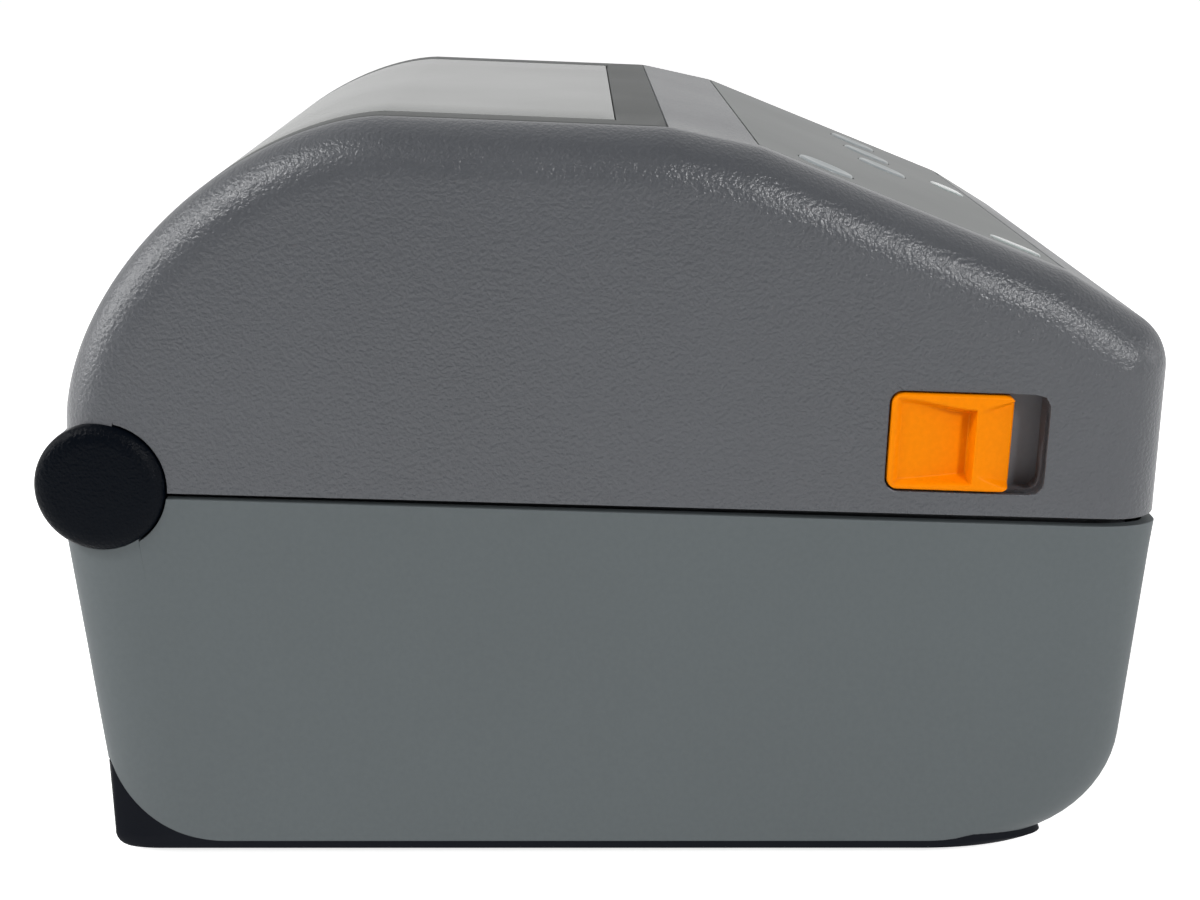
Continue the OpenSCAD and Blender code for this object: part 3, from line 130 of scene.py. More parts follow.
SEAM_Z = 74.8
SEAM_GAP = 1.3
SEAM_SLOPE = np.tan(np.radians(1.7))
SEAM_WIDENING = np.tan(np.radians(0.19))
DRAFT = np.tan(np.radians(1.2))
HINGE = np.array([98.0, 79.5])
FACET = np.array([-12.0, 148.4])
PANEL_TOP = np.array([-29.8, 144.6])
PANEL_END = np.array([-90.6, 120.6])
NOSE_SLOPE = np.tan(np.radians(31))
NOSE_RADIUS = 11.2
CREASE_RADIUS = 14.0
ARCH = np.array([42.5, 90.5])
ARCH_SPAN = 63.5
ARCH_POWER = 1.71
REAR_Y = 106.0
FRONT_LEAN = 0.0154
REAR_LEAN = 0.0296


def casing_seam(y):
    """Height of the casing's top edge at depth y."""
    return SEAM_Z + y * SEAM_SLOPE


def cover_seam(y):
    """Height of the cover's lower edge at depth y."""
    return casing_seam(y) + SEAM_GAP - y * SEAM_WIDENING


def unit(v):
    """Vectors of length 1 along v."""
    return v / np.linalg.norm(v, axis=-1, keepdims=True)


def circle(a, r=1.0):
    """Points (u, v) at the angles a of a circle of radius r about the origin."""
    return r * np.stack([np.cos(a), np.sin(a)], -1)


def turned(points, angle):
    """Points (u, v) turned about the origin, anticlockwise for a positive angle."""
    c, s = np.cos(angle), np.sin(angle)
    return points @ np.array([[c, s], [-s, c]])


def with_x(x, yz):
    """Points (x, y, z) of a side view's points at the place x across."""
    return np.concatenate([np.broadcast_to(x, yz.shape[:-1])[..., None], yz], -1)


def blend(a, b, shares):
    """Lines between the lines a and b: (1 - share) a + share b."""
    v = np.asarray(shares)[:, None, None]
    return (1 - v) * a + v * b


def straight(a, b, step):
    """Points from a to b at most step apart, each with the normal on the left of the way from a to b."""
    a, b = np.asarray(a, float), np.asarray(b, float)
    n = max(1, int(np.ceil(np.linalg.norm(b - a) / step)))
    u = unit(b - a)
    return a + np.linspace(0, 1, n + 1)[:, None] * (b - a), np.repeat([[-u[1], u[0]]], n + 1, 0)


def corner(a, p, b, r, n):
    """Arc of radius r that rounds the corner p between a and b, as points and outward normals."""
    u, v = unit(a - p), unit(b - p)
    half = np.arccos(u @ v) / 2
    c = p + unit(u + v) * r / np.sin(half)
    start, end = p + u * r / np.tan(half) - c, p + v * r / np.tan(half) - c
    t = np.linspace(0, 1, n + 1)[:, None]
    w = unit(start * (1 - t) + end * t)
    return c + r * w, w


def cover_line(sizes):
    """Side line of the cover from the foot of the front wall over the top to the foot of the rear wall.

    The nose is an arc, the creases of the panel are wide arcs and the rear is a quarter of the curve
    |y/a|^p + |z/b|^p = 1. Returns points (y, z), outward unit normals and the distance run along the line.
    """
    nose = np.array([-sizes.front, PANEL_END[1] - (sizes.front + PANEL_END[0]) * NOSE_SLOPE])
    foot, crest = np.array([-sizes.front + 0.9, 50.0]), np.array([ARCH[0], sizes.top])
    stops = [foot, nose, PANEL_END, PANEL_TOP, FACET, crest]
    radii = [NOSE_RADIUS, CREASE_RADIUS, CREASE_RADIUS, CREASE_RADIUS]
    parts, here = [], foot
    for i, (r, steps) in enumerate(zip(radii, (12, 3, 4, 4))):
        points, normals = corner(*stops[i:i + 3], r, steps)
        parts += [straight(here, points[0], 4), (points, normals)]
        here = points[-1]
    parts.append(straight(here, crest, 4))
    t = np.radians(np.linspace(2, 90, 44))[::-1]
    u, v = np.cos(t) ** (2 / ARCH_POWER), np.sin(t) ** (2 / ARCH_POWER)
    height = sizes.top - ARCH[1]
    normals = unit(np.stack([u ** (ARCH_POWER - 1) / ARCH_SPAN, v ** (ARCH_POWER - 1) / height], 1))
    parts.append((ARCH + np.stack([ARCH_SPAN * u, height * v], 1), normals))
    parts.append(straight((REAR_Y, ARCH[1]), (REAR_Y + 1.2, 50), 4))
    p, n = (np.concatenate([part[k] for part in parts]) for k in (0, 1))
    keep = np.r_[True, np.linalg.norm(np.diff(p, axis=0), axis=1) > 0.05]
    p, n = p[keep], n[keep]
    return p, n, np.r_[0, np.cumsum(np.linalg.norm(np.diff(p, axis=0), axis=1))]


class Skin:
    """The cover's outer surface as a function of the run s along its side line, the place x and the depth d.

    at(s, x, d) = (x, line(s) - d * normal(s)), with line and normal read between the points of cover_line.
    """

    def __init__(self, sizes):
        self.p, self.n, self.s = cover_line(sizes)

    def run_at(self, value, axis, low, high):
        """The run between low and high where the line's y (axis 0) or z (axis 1) is value."""
        grid = np.linspace(low, high, 4001)
        return grid[np.argmin(np.abs(np.interp(grid, self.s, self.p[:, axis]) - value))]

    def read(self, s, table):
        """Both columns of a table of the line's points, read at the runs s."""
        return np.stack([np.interp(s, self.s, table[:, k]) for k in (0, 1)], -1)

    def line(self, s, d=0.0):
        """Points (y, z) at the runs s, at depth d under the surface."""
        return self.read(s, self.p) - np.asarray(d)[..., None] * unit(self.read(s, self.n))

    def at(self, s, x, d):
        """Points (x, y, z) at run s, place x and depth d."""
        s, x, d = np.broadcast_arrays(s, x, d)
        return with_x(x, self.line(s, d))

    def landmarks(self):
        """Runs of the lines where pieces begin and end. The opening under the window runs from view to view_low."""
        whole = self.s[-1]
        crest = self.run_at(ARCH[0], 0, 0, whole)
        depths = {"nose": PANEL_END[0], "panel": PANEL_TOP[0], "facet": FACET[0], "window": FACET[0] + 10}
        heights = {"window_low": 112, "frame_low": 104, "hinge": 91.5}
        marks = {name: self.run_at(y, 0, 40, crest) for name, y in depths.items()}
        marks |= {name: self.run_at(z, 1, crest + 20, whole) for name, z in heights.items()}
        return marks | {"view": marks["window"] + 4, "view_low": marks["window_low"] - 4}


# --------------------------------------------------------------------------- mesh making


def quads(rows, cols, wrap=False):
    """Corner numbers of the quads of a grid with rows x cols points; wrap joins the last column to the first."""
    r = np.arange(rows - 1)[:, None] * cols
    c = np.arange(cols if wrap else cols - 1)[None, :]
    d = (c + 1) % cols
    return np.stack(np.broadcast_arrays(r + c, r + d, r + cols + d, r + cols + c), -1).reshape(-1, 4)


def face_mean(values, shape, faces):
    """Mean at each face's corners of values that are given on a grid of that shape, or on its rows or columns."""
    return np.broadcast_to(values, shape).reshape(-1)[faces].mean(1)


def round_lips(obj, radius, lips):
    """Rounds the edges that are given as pairs of points."""
    mesh = obj.data
    pairs = np.zeros(len(mesh.edges) * 2, int)
    mesh.edges.foreach_get("vertices", pairs)
    there, wanted = (np.sort(edges, 1) @ [len(mesh.vertices), 1] for edges in (pairs.reshape(-1, 2), lips))
    weight = mesh.attributes.new("bevel_weight_edge", "FLOAT", "EDGE")
    weight.data.foreach_set("value", np.isin(there, wanted).astype(np.float32))
    bevel = obj.modifiers.new("Lips", "BEVEL")
    bevel.limit_method = "WEIGHT"
    bevel.width = radius * MM
    bevel.segments = 3
    bevel.use_clamp_overlap = True


def make_mesh(name, points, faces, smooth=35, outward=False):
    """Object with the given points (mm) and quads. Edges sharper than smooth degrees stay hard."""
    mesh = bpy.data.meshes.new(name)
    faces = [list(dict.fromkeys(f)) for f in faces.tolist() if len(set(f)) > 2]
    mesh.from_pydata((points * MM).tolist(), [], faces)
    mesh.validate()
    if outward:
        solid = bmesh.new()
        solid.from_mesh(mesh)
        bmesh.ops.recalc_face_normals(solid, faces=solid.faces)
        solid.to_mesh(mesh)
        solid.free()
    mesh.update()
    mesh.polygons.foreach_set("use_smooth", np.ones(len(mesh.polygons), bool))
    mesh.set_sharp_from_angle(angle=np.radians(smooth))
    obj = bpy.data.objects.new(name, mesh)
    bpy.context.scene.collection.objects.link(obj)
    return obj


def merged(points, faces, tol=0.004):
    """The same surface with points closer than tol made one, found by sorting their rounded places."""
    places = np.round(points / tol).astype(np.int64)
    _, first, back = np.unique(places, axis=0, return_index=True, return_inverse=True)
    return first, back.reshape(-1)[faces]


def shell(name, patches, lip):
    """Closed moulded wall out of patches (outer points, inner points, quads).

    Outer and inner skin share their quads, and every edge that only one quad uses gets a rim quad from the
    outer skin to the inner one, so openings have walls of their own.
    """
    outer, inner = (np.concatenate([patch[k].reshape(-1, 3) for patch in patches]) for k in (0, 1))
    starts = np.cumsum([0] + [patch[0].size // 3 for patch in patches])
    faces = np.concatenate([patch[2] + start for patch, start in zip(patches, starts)])
    first, faces = merged(outer, faces)
    used, faces = np.unique(faces, return_inverse=True)
    outer, inner, faces = outer[first[used]], inner[first[used]], faces.reshape(-1, 4)
    n = len(outer)
    edges = np.stack([faces, np.roll(faces, -1, 1)], -1).reshape(-1, 2)
    edges = edges[edges[:, 0] != edges[:, 1]]
    _, at, count = np.unique(edges.min(1) * n + edges.max(1), return_index=True, return_counts=True)
    rim = edges[at[count == 1]]
    walls = np.stack([rim[:, 1], rim[:, 0], rim[:, 0] + n, rim[:, 1] + n], -1)
    every = np.concatenate([faces, faces[:, ::-1] + n, walls])
    obj = make_mesh(name, np.concatenate([outer, inner]), every, outward=True)
    round_lips(obj, lip, np.concatenate([rim, rim + n]))
    return obj


def closed_sweep(name, rings, smooth=35):
    """Solid through closed rings of points (rings x points x 3), with a flat face at each end."""
    rings = np.asarray(rings, float)
    k, n = rings.shape[:2]
    points = np.concatenate([rings.reshape(-1, 3), rings[[0, -1]].mean(1)])
    i = np.arange(n)
    j = (i + 1) % n
    last = (k - 1) * n
    low = np.stack([np.full(n, k * n), j, i, i], -1)
    high = np.stack([np.full(n, k * n + 1), last + i, last + j, last + j], -1)
    return make_mesh(name, points, np.concatenate([quads(k, n, wrap=True), low, high]), smooth, outward=True)


def closed_tube(name, rings, smooth=35, flip=False):
    """Tube through closed rings, whose last ring joins the first one."""
    rings = np.concatenate([rings, rings[:1]])
    points, faces = rings.reshape(-1, 3), quads(*rings.shape[:2], wrap=True)
    first, faces = merged(points, faces[:, ::-1] if flip else faces)
    return make_mesh(name, points[first], faces, smooth, outward=True)


def join(name, objects):
    """One object out of several, under the given name."""
    whole = objects[0]
    with bpy.context.temp_override(active_object=whole, selected_editable_objects=objects, object=whole):
        bpy.ops.object.join()
    whole.name = whole.data.name = name
    return whole


def rounded_rect(l, w, r, n=6):
    """Rounded rectangle about the origin, anticlockwise, as points (u, v)."""
    arc = circle(np.radians(np.linspace(0, 90, n + 1)), r)
    middles = [(1, 1), (-1, 1), (-1, -1), (1, -1)] * np.array([l / 2 - r, w / 2 - r])
    return np.concatenate([turned(arc, TURN / 4 * k) + middle for k, middle in enumerate(middles)])


def at_angles(outline, angles):
    """Points where rays from the origin at the given angles meet an outline that goes once round it."""
    a = np.arctan2(outline[:, 1], outline[:, 0]) % TURN
    order = np.argsort(a)
    a, p = a[order], outline[order]
    a = np.r_[a[-1] - TURN, a, a[0] + TURN]
    p = np.concatenate([p[-1:], p, p[:1]])
    return np.stack([np.interp(angles % TURN, a, p[:, k]) for k in (0, 1)], -1)


def lathe(profile, steps, origin, axis, side):
    """Rings of a profile (radius, height) turned about an axis through origin: height * axis + radius * circle."""
    a = np.linspace(0, TURN, steps, endpoint=False)
    axis, side, profile = np.asarray(axis, float), np.asarray(side, float), np.asarray(profile, float)
    ring = np.cos(a)[:, None] * side + np.sin(a)[:, None] * np.cross(axis, side)
    return np.asarray(origin) + profile[:, 1, None, None] * axis + profile[:, 0, None, None] * ring


def hinge_lathe(profile, steps, sign):
    """Rings of a profile (radius, distance from the middle) about the hinge axis, on the side given by sign."""
    return lathe([(r, sign * x) for r, x in profile], steps, (0, *HINGE), (1, 0, 0), (0, 1, 0))


def panel_frame():
    """Across, up-slope and outward directions of the control panel."""
    slope = unit(PANEL_TOP - PANEL_END)
    return np.array([1.0, 0, 0]), np.array([0, *slope]), np.array([0, -slope[1], slope[0]])


def on_panel(x, v, h):
    """Points of the panel's frame: x across, v up the slope from the rear edge, h out of the surface."""
    x, v, h = (a[..., None] for a in np.broadcast_arrays(x, v, h))
    across, up, out = panel_frame()
    return np.array([0, *PANEL_TOP]) + x * across + v * up + h * out


# --------------------------------------------------------------------------- cover

SLOT_HALF, SLOT_TOP = 58, 77.6
VIEW_HALF = 64
BARREL_FROM, BARREL_TO = 67.1, 84.1
FRAME_SUNK, PANEL_SUNK = 1.2, 1.5
COVER_REACH = 13.05
LATCH_AT = np.array([-70.4, 88.8])
TILT = np.radians(1.7)
RECESS = (31.2, 20.0, 2.5)
LATCH_FRONT = RECESS[0] / 2 - 0.4
BOSSES = [(-66, -94), (66, -94), (-40, -46), (40, -46)]


def ramp(values, edge, full, side):
    """Depth that falls over a rounded lip at edge to full; side is 1 where the recess is beyond the edge."""
    return np.interp((values - edge) * side, [-0.3, -0.12, 0.0, 0.04], [0, 0.02, 0.22, full])


def lip_lines(edge):
    """Runs of the rows that carry a rounded lip: six lines within 0.3 of its edge."""
    return edge + np.array([-0.3, -0.12, 0, 0.04, 0.12, 0.3])


def wall_columns(crown, turns):
    """Columns of a moulded wall from left to right: side (-1, 0 or 1), turn of the side's round, and place x.

    The places of the crown have no turn. The turned columns have the place 0, which isn't used.
    """
    none = np.zeros(len(turns))
    return (np.r_[none - 1, np.sign(crown), none + 1], np.r_[turns[::-1], np.zeros(len(crown)), turns],
            np.r_[none, np.abs(crown), none])


def cover_columns(sizes):
    """Columns of the cover's grid, with the openings' edges and the lips of both recesses among them."""
    flat = sizes.half_width - sizes.shoulder
    xs = [0, 30, SLOT_HALF, VIEW_HALF, BARREL_FROM, flat - 0.001]
    for edge in (sizes.frame_half, sizes.panel_half):
        xs += [edge + 0.3, edge + 0.12, edge, edge - 0.04] if edge + 0.3 < flat else [edge, edge - 0.04]
    xs = np.unique(np.round(xs, 3))
    return wall_columns(np.r_[-xs[:0:-1], xs], np.radians(np.linspace(0, 90, 13))[1:])


def cover_rows(skin, marks):
    """Runs of the rows on the crown, with the lips of the recesses, and no other row close to an opening's edge."""
    openings = np.array([marks["view"], marks["view_low"], marks["hinge"]])
    lips = [marks["facet"], marks["panel"] + 0.15, marks["nose"] - 0.6, marks["frame_low"]]
    rows = np.concatenate([skin.s, *map(lip_lines, lips), openings])
    start = skin.run_at(SLOT_TOP, 1, 0, 50) + 1
    end = skin.run_at(cover_seam(REAR_Y) + 2.5, 1, marks["hinge"], skin.s[-1])
    rows = np.unique(np.round(rows[(rows > start) & (rows < end)], 3))
    beside = np.abs(rows[:, None] - openings).min(1)
    rows = rows[np.r_[True, np.diff(rows) > 0.03] & ((beside < 0.002) | (beside > 0.8))]
    return rows[rows > skin.run_at(cover_seam(-110), 1, 0, 50) + 6]


def dropped(row, lean, z):
    """Points under or over a row of points (y, z), at height z on a wall whose depth grows by lean downwards."""
    return with_x(row[:, 0] + lean * (row[:, 1] - z), np.broadcast_to(z, len(row))[:, None])[None]


def cover_sheet(sizes, skin, marks, off):
    """Runs of the rows and points (rows x columns x 3) of the cover's skin drawn in by off, from seam to seam.

    A column at turn t of the shoulder has x = half_width - off - r (1 - sin t), its line is drawn in by
    off + r (1 - cos t) with r = shoulder - off, and it leans inwards by the draft times sin t.
    """
    side, t, place = cover_columns(sizes)
    r = sizes.shoulder - off
    x = np.where(t > 0, sizes.half_width - off - r * (1 - np.sin(t)), place)
    rows = cover_rows(skin, marks)
    body = skin.line(rows[:, None], (off + r * (1 - np.cos(t)))[None, :])
    front, rear = body[0], body[-1]
    yz = np.concatenate([dropped(front, FRONT_LEAN, cover_seam(front[:, 0])), dropped(front, FRONT_LEAN, SLOT_TOP),
                         body, dropped(rear, REAR_LEAN, cover_seam(rear[:, 0]))])
    return np.r_[0, 1, rows, skin.s[-1]], with_x(side * (x - DRAFT * np.sin(t) * (yz[..., 1] - SEAM_Z)), yz)


def cover_recess(s, x, sizes, marks):
    """Depth of the recess for the window frame and of the one for the control panel at each grid point."""
    def box(full, start, end, half):
        along = np.minimum(ramp(s, start, full, 1), ramp(s, end, full, -1))[:, None]
        return np.minimum(along, ramp(np.abs(x), half, full, -1))
    return np.maximum(box(FRAME_SUNK, marks["facet"], marks["frame_low"], sizes.frame_half),
                      box(PANEL_SUNK, marks["nose"] - 0.6, marks["panel"] + 0.15, sizes.panel_half))


def until_circle(line, reach):
    """The points of a line up to the place where it enters the circle of radius reach about the hinge axis."""
    away = np.linalg.norm(line - HINGE, axis=1)
    k = np.argmax(away < reach)
    share = (away[k - 1] - reach) / (away[k - 1] - away[k])
    return np.concatenate([line[:k], [line[k - 1] + share * (line[k] - line[k - 1])]])


def hinge_arc(start, reach, seam):
    """Fourteen points about the hinge axis, from start to where the seam meets the circle of radius reach."""
    first = np.arctan2(*(start - HINGE)[::-1]) % TURN
    last = np.pi - np.arcsin((seam(HINGE[0] - reach) - HINGE[1]) / reach)
    return HINGE + circle(np.linspace(first, last, 14), reach)


def side_sheets(sign, flat, half, wall, lean):
    """Outer and inner points of a flat side wall: x = half + lean * draft * (height over the seam)."""
    x = half + lean * DRAFT * (flat[..., 1] - SEAM_Z)
    return with_x(sign * x, flat), with_x(sign * (x - wall), flat)


def crown_height(y):
    """Height of the panel and of the slope of 31 degrees ahead of it at depth y, straight between their ends."""
    front = PANEL_END - np.array([20, 20 * NOSE_SLOPE])
    return np.interp(y, [front[0], PANEL_END[0], PANEL_TOP[0]], [front[1], PANEL_END[1], PANEL_TOP[1]])


def barrel(sign):
    """Hinge barrel of the cover: a turned ring with rounded ends about the hinge axis."""
    x0, x1, r, bore = BARREL_FROM, BARREL_TO, 12.4, 2.56
    profile = [(bore, x0), (r - 0.6, x0), (r - 0.18, x0 + 0.18), (r, x0 + 0.6), (r, x1 - 0.4), (r - 0.4, x1),
               (bore, x1)]
    return closed_tube("barrel", hinge_lathe(profile, 96, sign)[::sign], flip=True)


def latch_collar(sign, sizes):
    """Pad behind the side wall round the latch opening: a flat ring between two rounded outlines."""
    inner = rounded_rect(*RECESS, n=8)
    outer = rounded_rect(RECESS[0] + 6, RECESS[1] + 3, RECESS[2] + 1, n=8)
    half, lean = sizes.half_width, DRAFT * (LATCH_AT[1] - SEAM_Z)
    loops = [(inner, half - 1.0 - lean), (inner, half - 4), (outer, half - 4), (outer, half - 2.0 - lean)]
    return closed_tube("collar", np.array([with_x(sign * x, turned(loop, TILT) + LATCH_AT) for loop, x in loops]))


def boss(x, y):
    """Screw boss under the panel: a turned stem whose upper rings follow the crown, 4.2 and 1.5 under it."""
    profile = [(1.25, 100.4), (3.2, 100.4), (3.5, 100.8), (3.5, 108), (4.4, 110)]
    rings = lathe(profile, 32, (x, y, 0), (0, 0, 1), (1, 0, 0))
    for ring, depth in ((3, 4.2), (4, 1.5)):
        rings[ring][:, 2] = crown_height(rings[ring][:, 1]) - depth
    return closed_sweep("boss", rings)


def build_cover(sizes):
    """Cover shell with its openings, and the barrels, latch collars and screw bosses inside it.

    The grid of cover_sheet loses its faces at the label slot, between the barrels and under the window. Each
    flat side wall lies between the grid's last column, closed by an arc about the hinge and by the seam, and
    the outline of the latch recess.
    """
    skin = Skin(sizes)
    marks = skin.landmarks()
    s, outer = cover_sheet(sizes, skin, marks, 0.0)
    _, inner = cover_sheet(sizes, skin, marks, sizes.wall)
    depth = cover_recess(s, outer[..., 0], sizes, marks)
    outer[..., 1:] -= depth[..., None] * skin.read(s, skin.n)[:, None]
    shape = outer.shape[:2]
    faces = quads(*shape)
    x, y, z = (face_mean(outer[..., k], shape, faces) for k in range(3))
    across, run = np.abs(x), face_mean(s[:, None], shape, faces)
    away = np.hypot(outer[..., 1] - HINGE[0], outer[..., 2] - HINGE[1]).reshape(-1)[faces].max(1)
    gone = (z < SLOT_TOP) & (across < SLOT_HALF) & (y < 0)
    gone |= (run > marks["hinge"]) & (across < BARREL_FROM)
    gone |= (across < VIEW_HALF) & (run > marks["view"]) & (run < marks["view_low"])
    gone |= (away < 12.5) & (across > BARREL_TO - 0.1)
    patches = [(outer, inner, faces[~gone])]
    for col, sign in ((0, -1), (-1, 1)):
        edge = until_circle(outer[:, col, 1:], COVER_REACH)
        arc = hinge_arc(edge[-1], COVER_REACH, cover_seam)[1:]
        y = np.linspace(arc[-1, 0], edge[0, 0], 46)[1:-1]
        loop = np.concatenate([edge, arc, np.stack([y, cover_seam(y)], -1)])
        recess = turned(rounded_rect(*RECESS, n=10), TILT)
        hole = LATCH_AT + at_angles(recess, np.arctan2(*(loop - LATCH_AT).T[::-1]))
        flat = blend(hole, loop, [0, 0.04, 0.12, 0.3, 0.6, 1])
        faces = quads(*flat.shape[:2], wrap=True)[:, ::-sign]
        patches.append((*side_sheets(sign, flat, sizes.half_width, sizes.wall, -1), faces))
    body = shell("cover_skin", patches, sizes.lip)
    inside = [part for sign in (-1, 1) for part in (barrel(sign), latch_collar(sign, sizes))]
    return [body, *inside, *[boss(*place) for place in BOSSES]]


# --------------------------------------------------------------------------- casing and tray

FRONT_WALL, REAR_WALL = (110.0, 72.0, 4.6), (108.0, 77.8, 6.3)
CASING_Z = 3.6
FRONT_ROUND = 24
PARTING_ROUND = 25.4
CASING_REACH = 13.0
CORNER_TURNS = np.radians(np.linspace(0, 90, 18))[1:]
EVEN = np.linspace(0, 1, 12)[1:-1]
FRONT_ROWS, ARC_ROWS, UNDER_ROWS, PARTING_ROWS = (73, 66, 60, 59, 50, 38), 15, len(EVEN), 14
REAR_SHARES, REAR_ROWS = (0.03, 0.2, 0.45, 0.7, 1), (44, 45, 56, 69, 78)


def wall_at(wall, drawn, z):
    """Depth at height z of an end wall (y, z0, lean in degrees) drawn in: y - drawn - (z0 - z) tan(lean)."""
    y, z0, lean = wall
    return y - drawn - (z0 - z) * np.tan(np.radians(lean))


def round_middle(wall, drawn, z, r):
    """Depth of the middle, at height z, of an arc of radius r that ends along an end wall."""
    return wall_at(wall, drawn, z) - r / np.cos(np.radians(wall[2]))


def parting_arc(drawn, lift, top):
    """Arc under the rear wall, lifted by lift, from the underside to where a wall drawn in by drawn meets it."""
    r = PARTING_ROUND - lift
    zc = CASING_Z + lift + r
    yc = round_middle(REAR_WALL, lift, zc, r)
    grid = np.radians(np.linspace(-90, -REAR_WALL[2], 400))
    room = wall_at(REAR_WALL, lift, zc + r * np.sin(grid)) - yc - r * np.cos(grid)
    stop = np.minimum(np.interp(drawn - lift, room[::-1], grid[::-1]), np.arcsin((top - zc) / r))
    quarter = TURN / 4
    arc = (yc, zc) + circle(np.linspace(0, 1, PARTING_ROWS)[:, None] * (stop + quarter) - quarter, r)
    arc[-1, :, 0] = np.maximum(arc[-1, :, 0], wall_at(REAR_WALL, drawn, arc[-1, :, 1]))
    return arc


def front_arc(drawn, r, turns):
    """Arc of radius r about the middle of the casing's round under its front wall."""
    zc = CASING_Z + FRONT_ROUND
    yc = -round_middle(FRONT_WALL, drawn, zc, FRONT_ROUND)
    a = np.radians(turns)[:, None]
    return np.stack(np.broadcast_arrays(yc - r * np.cos(a), zc + r * np.sin(a)), -1)


def casing_line(drawn, lift):
    """Side lines of the casing, drawn in by drawn at its ends: rows down the front, under and up the rear.

    The front wall leans into an arc of radius 24. The rear wall ends on one parting line for all columns, an
    arc of radius 25.4 carried across the printer, which the tray fills. The first and last row lie on the seam.
    """
    def row(sign, wall, z, seam=False):
        y = sign * wall_at(wall, drawn, z)
        return np.stack(np.broadcast_arrays(y, casing_seam(y) if seam else z), -1)
    front = [row(-1, FRONT_WALL, z, z == FRONT_ROWS[0]) for z in FRONT_ROWS]
    arc = front_arc(drawn - lift, FRONT_ROUND - lift, np.linspace(-FRONT_WALL[2], -90, ARC_ROWS))
    parting = parting_arc(drawn, lift, 19.75)
    rear = [row(1, REAR_WALL, parting[-1, :, 1] * (1 - share) + 32 * share) for share in REAR_SHARES]
    rear += [row(1, REAR_WALL, z, z == REAR_ROWS[-1]) for z in REAR_ROWS]
    return np.concatenate([front, arc, blend(arc[-1], parting[0], EVEN), parting, rear])


def hinge_edge():
    """Rolled edge of the casing between the barrels, and the disc that closes it at each end."""
    r, x1 = 11.4, 66.6
    a = np.radians(np.linspace(-62, 200, 60))
    roll = HINGE + np.concatenate([circle(a, r), circle(a[::-1], r - 2.4)])
    parts = [closed_sweep("hinge_edge", [with_x(x, roll) for x in (x1, -x1)])]
    disc = [(0.1, x1 - 4.6), (r - 0.5, x1 - 4.6), (r - 0.5, x1 - 0.3), (r - 0.9, x1 + 0.02), (0.1, x1 + 0.02)]
    return parts + [closed_sweep("disc", hinge_lathe(disc, 64, sign)[::sign]) for sign in (-1, 1)]


def build_casing(sizes):
    """Wall of the lower casing: upright oval corners between the flat ends and the flat side walls.

    A column at turn t of the corner has x = half - off - w (1 - sin t) and its line is drawn in by
    off + d (1 - cos t), with the corner's width w and depth d less off.
    """
    half, wall = sizes.half_width + 0.06, sizes.wall
    crown = np.array([-78.9, -71, -61, -60, -30, 0, 30, 60, 61, 71, 78.9])
    side, t, place = wall_columns(crown, CORNER_TURNS)
    sheets = []
    for off in (0.0, wall):
        x = np.where(t > 0, half - off - (sizes.corner_side - off) * (1 - np.sin(t)), place)
        yz = casing_line(off + (sizes.corner - off) * (1 - np.cos(t)), off)
        yz[..., 0] += np.where(yz[..., 0] > 60, 0.06, 0) * np.cos(t) * (yz[..., 1] < 40)
        sheets.append(with_x(side * (x + DRAFT * np.sin(t) * (yz[..., 1] - SEAM_Z)), yz))
    outer, inner = sheets
    shape = outer.shape[:2]
    faces = quads(*shape)[:, ::-1]
    x, y, z = (face_mean(outer[..., k], shape, faces) for k in range(3))
    across, level = np.abs(x), face_mean(np.arange(shape[0])[:, None], shape, faces)
    arc_end = len(FRONT_ROWS) + ARC_ROWS
    gone = (level > arc_end - 1) & (level < arc_end + UNDER_ROWS + PARTING_ROWS - 1) & (across < 82)
    gone |= (across < 60) & (y < 0) & (z > 60)
    gone |= (across < 60) & (y > 0) & (z > 19) & (z < 44)
    gone |= (across > 66) & (y > 0) & (z > 69)
    patches = [(outer, inner, faces[~gone])]
    for col, sign in ((0, -1), (-1, 1)):
        low = until_circle(outer[:-1, col, 1:], CASING_REACH)
        arc = hinge_arc(low[-1], CASING_REACH, casing_seam)[::-1]
        y = np.linspace(low[0, 0], arc[0, 0], len(low) - len(arc) + 1)[:-1]
        high = np.concatenate([np.stack([y, casing_seam(y)], -1), arc])
        high[0], high[-1] = low[0], low[-1]
        flat = blend(high, low, np.linspace(0, 1, 8))
        patches.append((*side_sheets(sign, flat, half, wall, 1), quads(*flat.shape[:2])[:, ::sign]))
    return [shell("casing_skin", patches, sizes.lip), *hinge_edge()]


